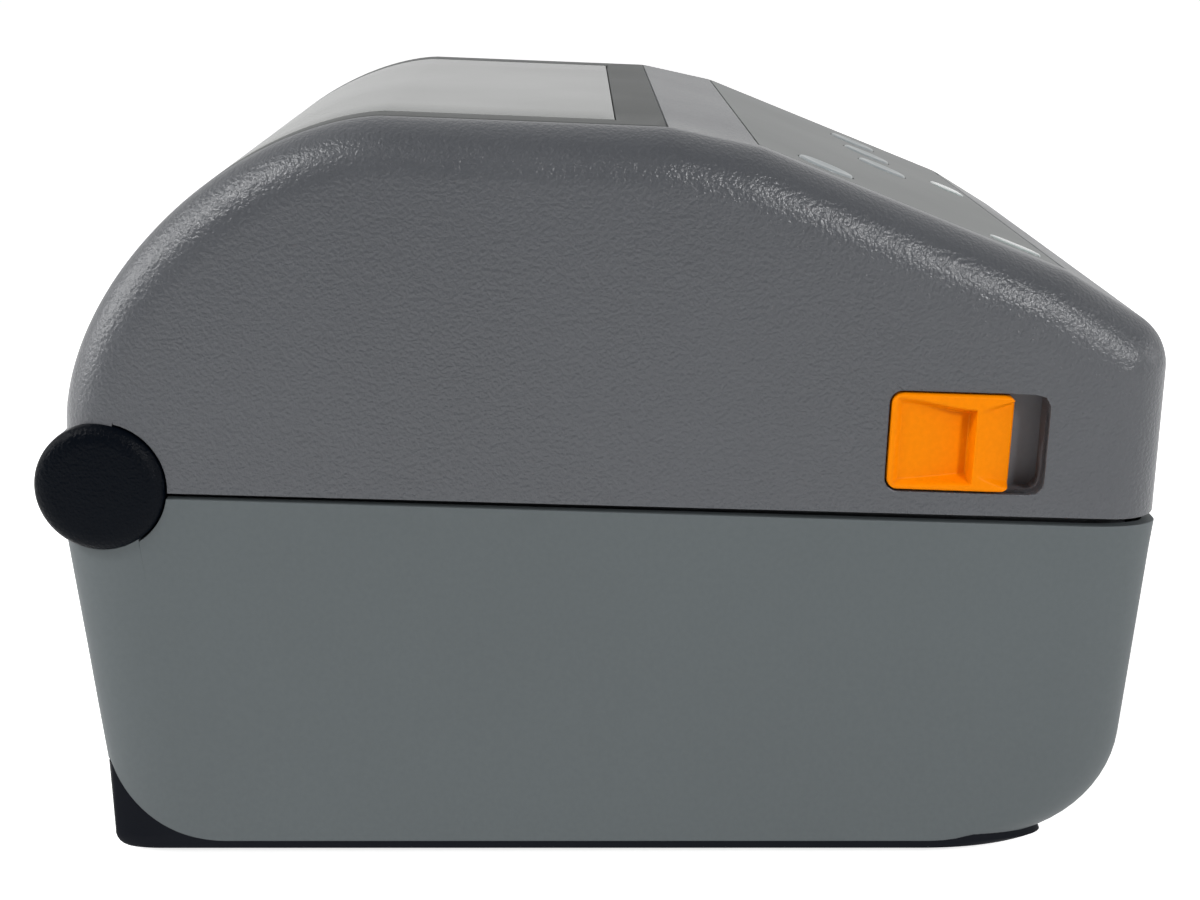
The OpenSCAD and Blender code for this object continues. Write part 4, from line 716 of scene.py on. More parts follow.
def build_sole(sizes):
    """Rim of the tray below the casing: outer line and inner line of each column, with the front lip and the corner.

    The outer line is an arc about the casing's front round, the flat sole, a round of 3 and the leaning rear
    wall, whose oval corner grows keener towards the sole. The inner line follows the casing's underside and
    the parting arc.
    """
    half, low, bend, keen = sizes.half_width + 0.03, 1.97, 3, 0.6
    side, t, place = wall_columns(np.array([-78.9, -62, -30, 0, 30, 62, 78.9]), CORNER_TURNS)
    x = np.where(t > 0, half - sizes.corner_side * (1 - np.sin(t)), place)
    drawn = sizes.corner * (1 - np.cos(t))
    lip = np.linspace(-69, -90, 9)
    outer_front = front_arc(drawn, FRONT_ROUND + CASING_Z - low, lip)
    inner_front = front_arc(drawn, FRONT_ROUND - 0.05, lip)
    inner_rear = parting_arc(drawn, 0, 19.0)
    foot = wall_at(REAR_WALL, drawn * (1 - keen) - 0.03, low + bend) - bend
    a = np.radians(np.linspace(-90, -REAR_WALL[2], 6))[:, None]
    turn = np.stack([foot + bend * np.cos(a), low + bend + bend * np.sin(a) + 0 * drawn], -1)
    up = np.linspace(0, 1, 9)[1:, None]
    z = turn[-1, :, 1] + up * (inner_rear[-1, :, 1] - turn[-1, :, 1])
    wall = wall_at(REAR_WALL, drawn * (1 - keen * (1 - up)) - 0.03, z)
    outer_rear = np.concatenate([turn, np.stack([wall, z], -1)])
    outer = np.concatenate([outer_front, blend(outer_front[-1], outer_rear[0], EVEN), outer_rear])
    inner = np.concatenate([inner_front, blend(inner_front[-1], inner_rear[0], EVEN), inner_rear])
    inner[..., 0] = np.minimum(inner[..., 0], outer[..., 0] - np.where(outer[..., 0] > 60, 0.2, -50))
    near = np.concatenate([np.zeros(len(lip)), EVEN, np.ones(len(a)), 1 - up[:, 0]])[:, None]
    outer_x = np.where(t > 0, half - (half - x) * (1 - keen * near), x + 0 * near)
    sheets = [with_x(side * (place + DRAFT * np.sin(t) * (yz[..., 1] - SEAM_Z)), yz)
              for yz, place in ((outer, outer_x), (inner, x))]
    shape = outer.shape[:2]
    faces = quads(*shape)[:, ::-1]
    across = np.abs(face_mean(sheets[0][..., 0], shape, faces))
    level = face_mean(np.arange(shape[0])[:, None], shape, faces)
    lip_end, sole_end = len(lip) - 1, len(lip) + UNDER_ROWS - 1
    gone = (level > lip_end) & (level < sole_end + len(a)) & (across < 81)
    gone |= (level >= sole_end) & (across < 62)
    return shell("sole_rim", [(*sheets, faces[~gone])], 0.2)


# --------------------------------------------------------------------------- smaller pieces

BUTTONS = {"power_button": (-61, -15.5), "pause_button": (2, -38), "feed_button": (27.5, -38),
           "cancel_button": (53, -38)}
LENSES = [(-66.2, -56, 7, 11), (22, -58.5, 12, 8)]
PANEL_XS = (-71, -53, -5.5, 9.5, 14.5, 35, 45, 61)
PANEL_VS = (-64.7, -49, -46, -30, -24, -7, -0.15)


def skin_slab(name, skin, s0, s1, half, depth, edge):
    """Moulded slab that follows the cover's skin: a closed section (x, depth) carried along the side line.

    The section is a flat face with a quarter round of radius edge at each side, and towards both ends the
    face sinks along the same quarter round.
    """
    t = np.radians(np.linspace(0, 90, 5))
    away, sunk = edge * (1 - np.cos(t)), edge * (1 - np.sin(t))
    flat = np.linspace(-half + edge, half - edge, 9)[1:-1]
    x = np.r_[-half, -half + away, flat, half - away[::-1], half, np.linspace(half, -half, 5)[1:-1]]
    d = np.r_[depth, sunk, 0 * flat, sunk[::-1], np.full(4, depth)]
    inside = skin.s[(skin.s > s0 + edge + 0.2) & (skin.s < s1 - edge - 0.2)]
    run = np.r_[s0, s0 + away[:-1], s0 + edge, inside, s1 - edge, (s1 - away[:-1])[::-1], s1]
    down = np.r_[depth, sunk[:-1], 0, 0 * inside, 0, sunk[:-1][::-1], depth]
    return closed_sweep(name, skin.at(run[:, None], x[None], np.maximum(d[None], down[:, None])), 50)


def skin_frame(name, skin, outer, inner, depth):
    """Flat frame on the cover's skin between two rectangles (run from, run to, half width).

    Each ring joins a point of the outer rectangle to the matching point of the inner one, and the section
    between them is a low slab with rounded lips.
    """
    def walk(s0, s1, half):
        q = (skin.s - outer[0]) / (outer[1] - outer[0])
        q = np.unique(np.r_[0, q[(q > 0.004) & (q < 0.996)], 1])
        along, across = s0 + q * (s1 - s0), np.linspace(-half, half, 11)
        s = np.r_[along, np.full(9, s1), along[::-1], np.full(9, s0)]
        x = np.r_[np.full(len(q), -half), across[1:-1], np.full(len(q), half), across[::-1][1:-1]]
        return np.stack([s, x], 1)
    f = np.array([0, 0, 0.008, 0.03, 0.06, 0.3, 0.7, 0.94, 0.97, 0.992, 1, 1, 0.5])[None, :, None]
    d = np.array([depth, 0.4, 0.18, 0.05, 0, 0, 0, 0, 0.05, 0.18, 0.4, depth, depth])
    sx = walk(*outer)[:, None] * (1 - f) + walk(*inner)[:, None] * f
    return closed_tube(name, skin.at(sx[..., 0], sx[..., 1], d), 50)


def holed_cell(gx, gv, middle, size):
    """Cell of the panel as three rings: the outline of its hole, the way halfway out, and the cell's own edge.

    Each of 96 rays from the hole's middle meets the outline and takes the point of the edge nearest in angle.
    """
    outline = rounded_rect(*size, min(size) / 2 - 0.01, n=12)
    rays = np.linspace(0, TURN, 97)[:-1] + 0.001
    ring = at_angles(outline, rays) + middle
    ones = np.ones(len(gx))
    sides = [(gx, gv[0] * ones), (gx[-1] * ones, gv), (gx[::-1], gv[-1] * ones), (gx[0] * ones, gv[::-1])]
    loop = np.concatenate([np.stack(side, 1)[:-1] for side in sides])
    angle = np.arctan2(loop[:, 1] - middle[1], loop[:, 0] - middle[0]) % TURN
    order = np.argsort(angle)
    a, n = angle[order], len(loop)
    nearest = np.round(np.interp(rays, np.r_[a[-1] - TURN, a, a[0] + TURN], np.arange(-1, n + 1)))
    edge = loop[order[np.clip(nearest, 0, n - 1).astype(int)]]
    return np.stack([ring, ring * 0.5 + edge * 0.5, edge])


def build_panel(sizes):
    """Panel film: a plan of rectangular cells, where a cell with a hole is a ring of quads round the hole."""
    xs, vs = [-sizes.panel_half, *PANEL_XS, sizes.panel_half], PANEL_VS
    holes = [(x, v, 12.2, 12.2) for x, v in BUTTONS.values()] + [(x, v, l + 0.3, w + 0.3) for x, v, l, w in LENSES]
    holed = {(np.searchsorted(xs, x) - 1, np.searchsorted(vs, v) - 1): ((x, v), (l, w)) for x, v, l, w in holes}
    patches = []
    q = np.linspace(0, 1, 9)
    for i, j in np.ndindex(len(xs) - 1, len(vs) - 1):
        gx, gv = xs[i] + q * (xs[i + 1] - xs[i]), vs[j] + q * (vs[j + 1] - vs[j])
        gx[-1], gv[-1] = xs[i + 1], vs[j + 1]
        if (i, j) in holed:
            plan, faces = holed_cell(gx, gv, *holed[i, j]), quads(3, 96, wrap=True)
        else:
            plan, faces = np.stack(np.meshgrid(gx, gv, indexing="ij"), -1), quads(9, 9)[:, ::-1]
        patches.append((*[on_panel(plan[..., 0], plan[..., 1], h) for h in (0.0, -PANEL_SUNK)], faces))
    return shell("panel_film", patches, 0.25)


def build_button(name, sizes):
    """Round key: a turned profile with a soft rim and a shallow dish of depth 0.5 in its face."""
    r, top, soft, dish = sizes.button, 0.4, 0.6, 0.5
    bowl = [(q, top - dish + dish * (q / (r - 1.1)) ** 2) for q in np.linspace(0.3, r - 1.1, 8)]
    rim = (r - soft, top - soft) + circle(np.radians(np.linspace(100, 0, 7)), soft)
    profile = [*bowl, *rim, (r, -2.2), (r + 1, -2.4), (r + 1, -3.2), (r, -3.4), (r, -4)]
    across, _, out = panel_frame()
    return closed_sweep(name + "_key", lathe(profile, 72, on_panel(*BUTTONS[name], 0.0), out, across), 40)


def build_lens(index):
    """Light window in the panel: rounded outline drawn up to a shallow dome."""
    x, v, l, w = LENSES[index]
    rings = []
    for h, inset in [(-3.2, 0), (-0.1, 0), (0.08, 0.06), (0.2, 0.25), (0.27, 0.8), (0.32, 1.8), (0.34, 2.8)]:
        outline = rounded_rect(l - 2 * inset, w - 2 * inset, min(l, w) / 2 - 0.12 - inset, n=10)
        rings.append(on_panel(x + outline[:, 0], v + outline[:, 1], h))
    return closed_sweep(f"lens_{index}", rings, 40)


def build_cap(sign, sizes):
    """Round hinge cap: a turned disc whose rim is a quarter ellipse, 4.6 by 2.4, and whose face swells by 0.25."""
    r, out, x0 = sizes.cap_radius, sizes.half_width + sizes.cap_proud, 84.5
    soft, deep, swell = 4.6, 2.4, 0.25
    rim = (r - soft, out - swell - deep) + circle(np.radians(np.linspace(0, 90, 12))) * (soft, deep)
    face = [(q, out - swell * (q / (r - soft)) ** 2) for q in np.linspace(r - soft - 0.4, 0.4, 10)]
    profile = [(r - 0.8, x0), (r - 0.2, x0 + 0.1), (r, x0 + 0.5), *rim, *face]
    return closed_sweep("hinge_cap_half", hinge_lathe(profile, 128, sign), 40)


def smooth_step(v, a, b):
    """Smooth rise from 0 at a to 1 at b: t t (3 - 2 t) with t = (v - a) / (b - a), held between 0 and 1."""
    t = np.clip((v - a) / (b - a), 0, 1)
    return t * t * (3 - 2 * t)


def build_latch(sign, sizes):
    """Thumb piece: a height field over a rounded rectangle, u from the rear to the front and v up.

    height(u, v) = face(u, v) - pocket(u, v), where the face rises to a ridge and falls away ahead of it as a
    wedge between two narrowing strips, and the pocket deepens towards the ridge below a sloping upper edge.
    """
    length, high, r, ridge, soft = 24.2, 19.2, 2.2, 16.8, 0.55
    half = sizes.half_width
    k, m = np.linspace(-1, 1, 121), np.linspace(-1, 1, 101)
    v = m * high / 2
    cut = np.maximum(np.abs(v) - (high / 2 - r), 0)
    reach = length / 2 - (r - np.sqrt(np.maximum(r * r - cut * cut, 0)))
    u = k[:, None] * reach[None, :] + length / 2
    v = np.broadcast_to(v, u.shape)
    ahead = np.maximum(u - ridge, 0) / (length - ridge)
    wedge = 2.6 * ahead**1.2 * smooth_step(6.6 + 2.2 * ahead - np.abs(v), -0.3, 0.9)
    face = np.where(u < ridge, 0.1 + 0.3 * u / ridge, 0.4 - wedge)
    top = high / 2 - 1.0 - 2.0 * smooth_step(u, 1, ridge)
    low = -high / 2 + 0.9 + 0.6 * smooth_step(u, 1, ridge)
    box = np.minimum(np.minimum(u - 1.1, (ridge - 0.4 - u) * 2.2), np.minimum(top - v, v - low))
    pocket = (0.9 + 3.3 * (u / ridge) ** 1.3) * smooth_step(box, -0.35, 1.25)
    rim = np.minimum(np.minimum(u - (length / 2 - reach), length / 2 + reach - u), high / 2 - np.abs(v))
    lip = soft - np.sqrt(np.maximum(soft**2 - np.maximum(soft - rim, 0) ** 2, 0))
    grid = with_x(sign * (half + face - pocket - lip), LATCH_AT + turned(np.stack([LATCH_FRONT - u, v], -1), TILT))
    ring = np.concatenate([grid[0, :], grid[1:, -1], grid[-1, ::-1][1:], grid[::-1, 0][1:-1]])
    back = with_x(sign * (half - 7.6), ring[:, 1:])
    points = np.concatenate([grid.reshape(-1, 3), ring, back, back.mean(0)[None]])
    n = len(ring)
    start = len(points) - 2 * n - 1
    i = start + np.arange(n)
    j = start + (np.arange(n) + 1) % n
    centre = np.full(n, start + 2 * n)
    wall, cap = np.stack([i, j, j + n, i + n], -1), np.stack([i + n, j + n, centre, centre], -1)
    first, faces = merged(points, np.concatenate([quads(*u.shape), wall, cap]))
    body = make_mesh("latch", points[first], faces, 60, outward=True)
    section = np.array([-68.4, 88.75]) + rounded_rect(6, 6, 0.6, 4)
    stem = closed_sweep("stem", [with_x(sign * x, section) for x in (half - 7.4, half - 9.7)])
    return join("latch", [body, stem])


def build_spring(x):
    """Compression spring: a wire of 0.9 carried along a helix with closed end turns."""
    z0, z1, r, wire, turns = 87.4, 98.0, 2.9, 0.45, 6
    t = np.linspace(0, 1, 24 * turns)
    rise = smooth_step(t, 0.04, 0.96) * (z1 - z0 - 2 * wire) + z0 + wire
    out = circle(TURN * turns * t)
    centre = np.concatenate([(x, -86) + r * out, rise[:, None]], 1)
    section = circle(np.linspace(0, TURN, 10, endpoint=False), wire)[None]
    flat, upright = section[..., :1] * out[:, None], np.broadcast_to(section[..., 1:], (len(t), 10, 1))
    return closed_sweep("spring", centre[:, None] + np.concatenate([flat, upright], -1))


# --------------------------------------------------------------------------- finishes


def node(tree, kind, values=None, **options):
    """New shader node with its sockets set, or linked where the value is another node's socket."""
    made = tree.nodes.new("ShaderNode" + kind)
    for key, value in options.items():
        setattr(made, key, value)
    for socket, value in (values or {}).items():
        if isinstance(value, bpy.types.NodeSocket):
            tree.links.new(value, made.inputs[socket])
        else:
            made.inputs[socket].default_value = value
    return made


def maths(tree, operation, a, b):
    """Outcome of a calculation with two numbers."""
    return node(tree, "Math", {0: a, 1: b}, operation=operation).outputs[0]


def vectors(tree, operation, a, b):
    """Outcome of a calculation with two vectors, or for SCALE with a vector and a number."""
    second = "Scale" if operation == "SCALE" else 1
    return node(tree, "VectorMath", {0: a, second: b}, operation=operation).outputs[0]


def noise(tree, place, scale, detail):
    """Noise texture."""
    return node(tree, "TexNoise", {"Vector": place, "Scale": scale, "Detail": detail})


def span(tree, value, *limits, **options):
    """Value moved from between the first two limits to between the last two (0 and 1 if left out), held there."""
    names = ("From Min", "From Max", "To Min", "To Max")
    return node(tree, "MapRange", {"Value": value, **dict(zip(names, limits))}, **options).outputs[0]


def group(name, inputs, outputs, fill):
    """Shader node group, filled on first use by fill(tree, input sockets), which gives its output values."""
    tree = bpy.data.node_groups.get(name)
    if tree is None:
        tree = bpy.data.node_groups.new(name, "ShaderNodeTree")
        for label, kind, *value in inputs:
            socket = tree.interface.new_socket(name=label, in_out="INPUT", socket_type="NodeSocket" + kind)
            if value:
                socket.default_value = value[0]
        for label, kind in outputs:
            tree.interface.new_socket(name=label, in_out="OUTPUT", socket_type="NodeSocket" + kind)
        given, wanted = tree.nodes.new("NodeGroupInput"), tree.nodes.new("NodeGroupOutput")
        for value, socket in zip(fill(tree, given.outputs), wanted.inputs):
            tree.links.new(value, socket)
    return tree


def leather_grain():
    """Moulded leather grain: rounded cells of the given size, crowded by a finer set, as a height.

    The height falls from 1 to 0 while near + crowding * fine rises from 0.1 to 0.95, where near and fine are
    the distances to the middles of the two sets of cells, at places shifted by a little noise.
    """
    def fill(tree, given):
        rate = maths(tree, "DIVIDE", 1.0, given["Size"])
        warp = noise(tree, given["Vector"], 420.0, 2.0).outputs["Color"]
        place = vectors(tree, "ADD", given["Vector"], vectors(tree, "MULTIPLY", warp, (0.0006, 0.0006, 0.0006)))
        cells = node(tree, "TexVoronoi", {"Vector": place, "Scale": rate}, feature="SMOOTH_F1")
        finer = maths(tree, "MULTIPLY", rate, 2.1)
        small = node(tree, "TexVoronoi", {"Vector": place, "Scale": finer}, feature="F1")
        part = maths(tree, "MULTIPLY", small.outputs["Distance"], given["Crowding"])
        total = maths(tree, "ADD", cells.outputs["Distance"], part)
        return [span(tree, total, 0.1, 0.95, 1.0, 0.0)]
    return group("Leather grain", [("Vector", "Vector"), ("Size", "Float", 0.00085), ("Crowding", "Float", 0.35)],
                 [("Height", "Float")], fill)


def moulding_tone():
    """Slow drift of tone and gloss in moulded plastic, with a little dust that gathers as small pale specks."""
    def fill(tree, given):
        place = given["Vector"]
        slow, fine = noise(tree, place, 14.0, 3.0).outputs["Fac"], noise(tree, place, 900.0, 2.0).outputs["Fac"]
        drift = maths(tree, "MULTIPLY", span(tree, slow, 0.3, 0.7, -1.0, 1.0), given["Drift"])
        grit = span(tree, fine, 0.3, 0.7, -0.03, 0.03)
        level = maths(tree, "ADD", maths(tree, "ADD", drift, grit), 1.0)
        toned = vectors(tree, "SCALE", given["Colour"], level)
        specks = node(tree, "TexVoronoi", {"Vector": place, "Scale": 120.0}, feature="F1")
        spot = span(tree, specks.outputs["Distance"], 0.03, 0.05, 1.0, 0.0)
        chance = node(tree, "SeparateColor", {0: specks.outputs["Color"]}).outputs[0]
        seen = maths(tree, "MULTIPLY", spot, maths(tree, "GREATER_THAN", chance, 0.93))
        amount = maths(tree, "MULTIPLY", seen, given["Dust"])
        pale = vectors(tree, "ADD", toned, (0.18, 0.18, 0.175))
        mixed = node(tree, "Mix", {0: amount, 6: toned, 7: pale}, data_type="RGBA").outputs[2]
        return [mixed, maths(tree, "ADD", drift, given["Roughness"])]
    return group("Moulding tone", [("Vector", "Vector"), ("Colour", "Color", (0.1, 0.1, 0.1, 1)),
                                   ("Drift", "Float", 0.06), ("Dust", "Float", 0.5), ("Roughness", "Float", 0.45)],
                 [("Colour", "Color"), ("Roughness", "Float")], fill)


def brushed():
    """Fine lines along Y for drawn or ground metal, as a height and a roughness mask."""
    def fill(tree, given):
        flat = vectors(tree, "MULTIPLY", given["Vector"], (0.02, 1.0, 1.0))
        lines = noise(tree, flat, given["Fineness"], 3.0).outputs["Fac"]
        return [lines, span(tree, lines, 0.35, 0.65)]
    return group("Brushed", [("Vector", "Vector"), ("Fineness", "Float", 2500.0)],
                 [("Height", "Float"), ("Mask", "Float")], fill)


def blank(name):
    """New material: itself, its node tree, its surface shader and its object coordinates."""
    mat = bpy.data.materials.new(name)
    mat.use_nodes = True
    tree = mat.node_tree
    return mat, tree, tree.nodes["Principled BSDF"], node(tree, "TexCoord").outputs["Object"]


def toned_surface(name, colour, drift, dust):
    """New material whose base colour comes from the moulding tone; its roughness and bump are still to be given."""
    mat, tree, surface, place = blank(name)
    tone = node(tree, "Group", node_tree=moulding_tone())
    tree.links.new(place, tone.inputs["Vector"])
    for socket, value in (("Colour", (*colour, 1)), ("Drift", drift), ("Dust", dust)):
        tone.inputs[socket].default_value = value
    tree.links.new(tone.outputs["Colour"], surface.inputs["Base Color"])
    return mat, tree, surface, place, tone


def plastic(name, colour, roughness, grain=0.0, size=0.85, depth=0.06, drift=0.06, dust=0.4):
    """Material of a moulded surface: toned colour and gloss, over grain cells of the given size and depth in mm."""
    mat, tree, surface, place, tone = toned_surface(name, colour, drift, dust)
    tone.inputs["Roughness"].default_value = roughness
    grained = node(tree, "Group", node_tree=leather_grain())
    tree.links.new(place, grained.inputs["Vector"])
    grained.inputs["Size"].default_value = size * MM
    bump = node(tree, "Bump", {"Strength": grain, "Distance": depth * MM, "Height": grained.outputs["Height"]})
    tree.links.new(tone.outputs["Roughness"], surface.inputs["Roughness"])
    tree.links.new(bump.outputs[0], surface.inputs["Normal"])
    return mat


def metal(name, colour, roughness, fineness=2500.0, strength=0.25):
    """Material of drawn or machined metal with fine lines along it."""
    mat, tree, surface, place, _ = toned_surface(name, colour, 0.04, 0.0)
    lines = node(tree, "Group", node_tree=brushed())
    tree.links.new(place, lines.inputs["Vector"])
    lines.inputs["Fineness"].default_value = fineness
    rough = span(tree, lines.outputs["Mask"], 0, 1, roughness - 0.06, roughness + 0.08)
    bump = node(tree, "Bump", {"Strength": strength, "Distance": 0.02 * MM, "Height": lines.outputs["Height"]})
    tree.links.new(rough, surface.inputs["Roughness"])
    tree.links.new(bump.outputs[0], surface.inputs["Normal"])
    surface.inputs["Metallic"].default_value = 1.0
    return mat


# Slot: colour of the sidebar or in steps of 255, roughness, grain strength, cell size and depth, drift, dust.
# A roughness that drifts across 0.274 makes the render's denoiser draw false outlines, so none of these does.
PLASTICS = {
    "cover_plastic": ("cover", 0.33, 1.0, "grain", 0.11, 0.05, 0.35),
    "casing_plastic": ("casing", 0.5, 0.25, 0.35, 0.02, 0.05, 0.8),
    "pan_plastic": ((92, 93, 97), 0.5, 0.4, 0.5, 0.03),
    "tray_plastic": ("tray", 0.5, 0.4, 0.5, 0.03),
    "cap_plastic": ("cap", 0.33, 1.0, 0.6, 0.1, 0.05, 0.0),
    "latch_plastic": ("latch", 0.42, 0.12, 0.5, 0.015, 0.03, 0.0),
    "window_clear": ("window", 0.24, 0.1, 2.5, 0.01, 0.02, 0.15),
    "frame_plastic": ("frame", 0.46, 0.6, 0.55, 0.05, 0.05, 0.3),
    "panel_overlay": ("panel", 0.42, 0.25, 0.6, 0.02, 0.03, 0.2),
    "button_plastic": ("button", 0.3, 0.15, 0.5, 0.015, 0.02, 0.1),
    "lens_clear": ((190, 202, 200), 0.12, 0.1, 1.5, 0.01, 0.02, 0.0),
    "tub_plastic": ((40, 42, 46), 0.48, 0.5, 0.6, 0.04),
    "bezel_plastic": ((56, 59, 64), 0.45, 0.5, 0.6, 0.04),
    "socket_plastic": ((20, 21, 23), 0.4, 0.2, 0.5, 0.02),
    "board": ((26, 86, 54), 0.48, 0.3, 1.6, 0.04, 0.2, 0.3),
    "motor_black": ((36, 38, 41), 0.4, 0.4, 0.5, 0.03),
    "print_strip": ((70, 54, 42), 0.12, 0.1, 0.8, 0.01),
    "roller_rubber": ((25, 26, 28), 0.7, 0.6, 0.3, 0.03, 0.1, 0.3),
    "foot_rubber": ((26, 27, 29), 0.75, 0.6, 0.5, 0.04, 0.1, 0.6),
    "gear_plastic": ((228, 225, 212), 0.42, 0.2, 0.5, 0.02),
    "bush_plastic": ((214, 208, 190), 0.5, 0.2, 0.5, 0.02),
}
SPECULAR = {"cover_plastic": 0.48, "casing_plastic": 0.35, "tray_plastic": 0.04, "cap_plastic": 0.05,
            "latch_plastic": 0.05, "window_clear": 0.27, "frame_plastic": 0.16, "panel_overlay": 0.35}
TRANSMISSION = {"window_clear": 0.3, "lens_clear": 0.5}
# Slot: colour in steps of 255, roughness, fineness and strength of the lines.
METALS = {
    "steel": ((170, 173, 178), 0.34),
    "bright_steel": ((202, 205, 208), 0.2, 4000.0, 0.12),
    "sink_metal": ((184, 188, 192), 0.38, 1400.0, 0.35),
    "pinion_brass": ((200, 162, 74), 0.28, 3000.0, 0.2),
}


def finish(slot):
    """Material of a record slot, made on first use from its row in the tables above."""
    name = "Finish " + slot
    if name in bpy.data.materials:
        return bpy.data.materials[name]
    if slot in METALS:
        colour, *values = METALS[slot]
        return metal(name, srgb(*colour), *values)
    sizes, colours = settings()
    colour, *values = PLASTICS[slot]
    colour = tuple(getattr(colours, colour)) if isinstance(colour, str) else srgb(*colour)
    mat = plastic(name, colour, *[sizes.grain if value == "grain" else value for value in values])
    surface = mat.node_tree.nodes["Principled BSDF"]
    for socket, table in (("Specular IOR Level", SPECULAR), ("Transmission Weight", TRANSMISSION)):
        if slot in table:
            surface.inputs[socket].default_value = table[slot]
    return mat


NODE_SLOTS = {
    "cover_plastic": "cover_shell", "casing_plastic": "lower_casing", "cap_plastic": "hinge_caps",
    "tray_plastic": "base_tray", "pan_plastic": "latch_pan_left latch_pan_right",
    "tub_plastic": "media_tub head_frame head_carrier left_guide right_guide label_sensor movable_sensor",
    "bezel_plastic": "front_bezel", "socket_plastic": "connector_panel power_inlet network_socket",
    "bright_steel": "usb_socket hinge_pins platen_shaft motor_shaft tear_bar head_springs",
    "steel": "gear_plate strike_brackets tray_screws tub_screws head_frame_screws hook_left hook_right",
    "board": "main_board panel_board", "motor_black": "stepper_motor", "bush_plastic": "platen_bushes",
    "foot_rubber": "rubber_feet", "frame_plastic": "window_frame", "window_clear": "window",
    "panel_overlay": "control_panel", "lens_clear": "status_lenses", "sink_metal": "heat_sink",
    "print_strip": "thermal_strip", "latch_plastic": "latch_left latch_right",
    "button_plastic": "power_button pause_button feed_button cancel_button left_roll_hub right_roll_hub",
    "roller_rubber": "platen_roller", "gear_plastic": "platen_gear idler_gear guide_pinion",
    "pinion_brass": "motor_pinion",
}


def fit(obj, body, slot, *nodes):
    """Gives a finished piece its body and the material of its record slot, and hides the CAD nodes that it stands for.
    """
    obj.data.materials.clear()
    obj.data.materials.append(finish(slot))
    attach(obj, body)
    if nodes:
        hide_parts(*nodes)
    return obj


# --------------------------------------------------------------------------- stage

# Name, place, point aimed at, size and power of each lamp, in metres and watts.
LAMPS = [
    ("Key", (-1.08, -0.72, 0.66), (0, -0.03, 0.08), 0.24, 9.0),
    ("Rear", (-0.1, 1.4, 0.62), (0, 0, 0.08), 0.9, 12.0),
    ("Rim", (-0.55, 0.85, 1.0), (0, 0.08, 0.08), 0.22, 7.0),
    ("Front", (-0.25, -1.4, 0.45), (0, -0.08, 0.08), 0.5, 3.5),
    ("Fill", (-1.2, 0.7, 1.4), (0, 0, 0.08), 1.2, 3.0),
]
FOCAL_PIXELS, PHOTO_WIDTH = 1960, 1200
CAMERA_PLACE = (-0.4525, 0.0052, 0.1887)
CAMERA_TURNS = np.radians([15.49, -0.681, 0.306])


def paper(name, colour):
    """Matt paper of the floor with a faint fibre, lit up where the camera or a mirror sees it."""
    mat, tree, surface, place = blank(name)
    fibre = noise(tree, place, 300.0, 4.0).outputs["Fac"]
    shade = vectors(tree, "SCALE", colour, span(tree, fibre, 0, 1, 0.985, 1.0))
    tree.links.new(shade, surface.inputs["Base Color"])
    surface.inputs["Roughness"].default_value = 0.9
    seen = node(tree, "LightPath").outputs
    direct = maths(tree, "MAXIMUM", seen["Is Camera Ray"], seen["Is Glossy Ray"])
    surface.inputs["Emission Color"].default_value = (1, 1, 1, 1)
    tree.links.new(maths(tree, "MULTIPLY", direct, 0.75), surface.inputs["Emission Strength"])
    return mat


def studio_world(scene):
    """White background; mirrored it is a screen that grows darker towards -X, and its light is 0.24 of white."""
    world = scene.world or bpy.data.worlds.new("Studio")
    scene.world = world
    world.use_nodes = True
    tree = world.node_tree
    tree.nodes.clear()
    seen = node(tree, "LightPath").outputs
    way = node(tree, "SeparateXYZ", {0: node(tree, "TexCoord").outputs["Generated"]}).outputs[0]
    screen = span(tree, way, -0.45, 0.35, 0.2, 1.0, interpolation_type="SMOOTHSTEP")
    mirrored = maths(tree, "MULTIPLY", seen["Is Glossy Ray"], screen)
    direct = maths(tree, "MAXIMUM", seen["Is Camera Ray"], seen["Is Transmission Ray"])
    soft = span(tree, maths(tree, "MAXIMUM", direct, seen["Is Glossy Ray"]), 0, 1, 0.24, 0.0)
    level = maths(tree, "ADD", maths(tree, "MAXIMUM", direct, mirrored), soft)
    sky = node(tree, "Background", {"Color": (1, 1, 1, 1), "Strength": level})
    node(tree, "OutputWorld", {"Surface": sky.outputs[0]})


def lamp(name, place, aim, size, power):
    """Round area lamp at a place, turned to the point aimed at."""
    data = bpy.data.lights.new(name, "AREA")
    data.shape, data.size, data.energy = "DISK", size, power
    obj = bpy.data.objects.new(name, data)
    obj.location = place
    obj.rotation_euler = (Vector(aim) - Vector(place)).to_track_quat("-Z", "Y").to_euler()
    bpy.context.scene.collection.objects.link(obj)


def side_camera(scene):
    """Camera of the side view, from its place, pitch, yaw and roll and its focal length in pixels."""
    camera = bpy.data.cameras.new("Camera")
    camera.sensor_width, camera.lens = 36.0, FOCAL_PIXELS / PHOTO_WIDTH * 36
    camera.clip_start, camera.clip_end = 0.01, 20
    eye = bpy.data.objects.new("Camera", camera)
    scene.collection.objects.link(eye)
    pitch, yaw, roll = CAMERA_TURNS
    ahead = Vector((np.cos(pitch) * np.cos(yaw), np.cos(pitch) * np.sin(yaw), -np.sin(pitch)))
    right = ahead.cross(Vector((0, 0, 1))).normalized()
    up = right.cross(ahead)
    right, up = np.cos(roll) * right + np.sin(roll) * up, -np.sin(roll) * right + np.cos(roll) * up
    place = Matrix((right, up, -ahead)).transposed().to_4x4()
    place.translation = Vector(CAMERA_PLACE)
    eye.matrix_world = place
    scene.camera = eye


# --------------------------------------------------------------------------- operators


class PRINTER_OT_cover(bpy.types.Operator):
    """Cover shell with its shoulders, recesses, latch openings, hinge barrels and screw bosses."""
    bl_idname = "printer.cover"
    bl_label = "Cover shell"

    def execute(self, context):
        sizes, _ = settings()
        fit(join("cover_moulding", build_cover(sizes)), "cover", "cover_plastic", "cover_shell")
        return {"FINISHED"}


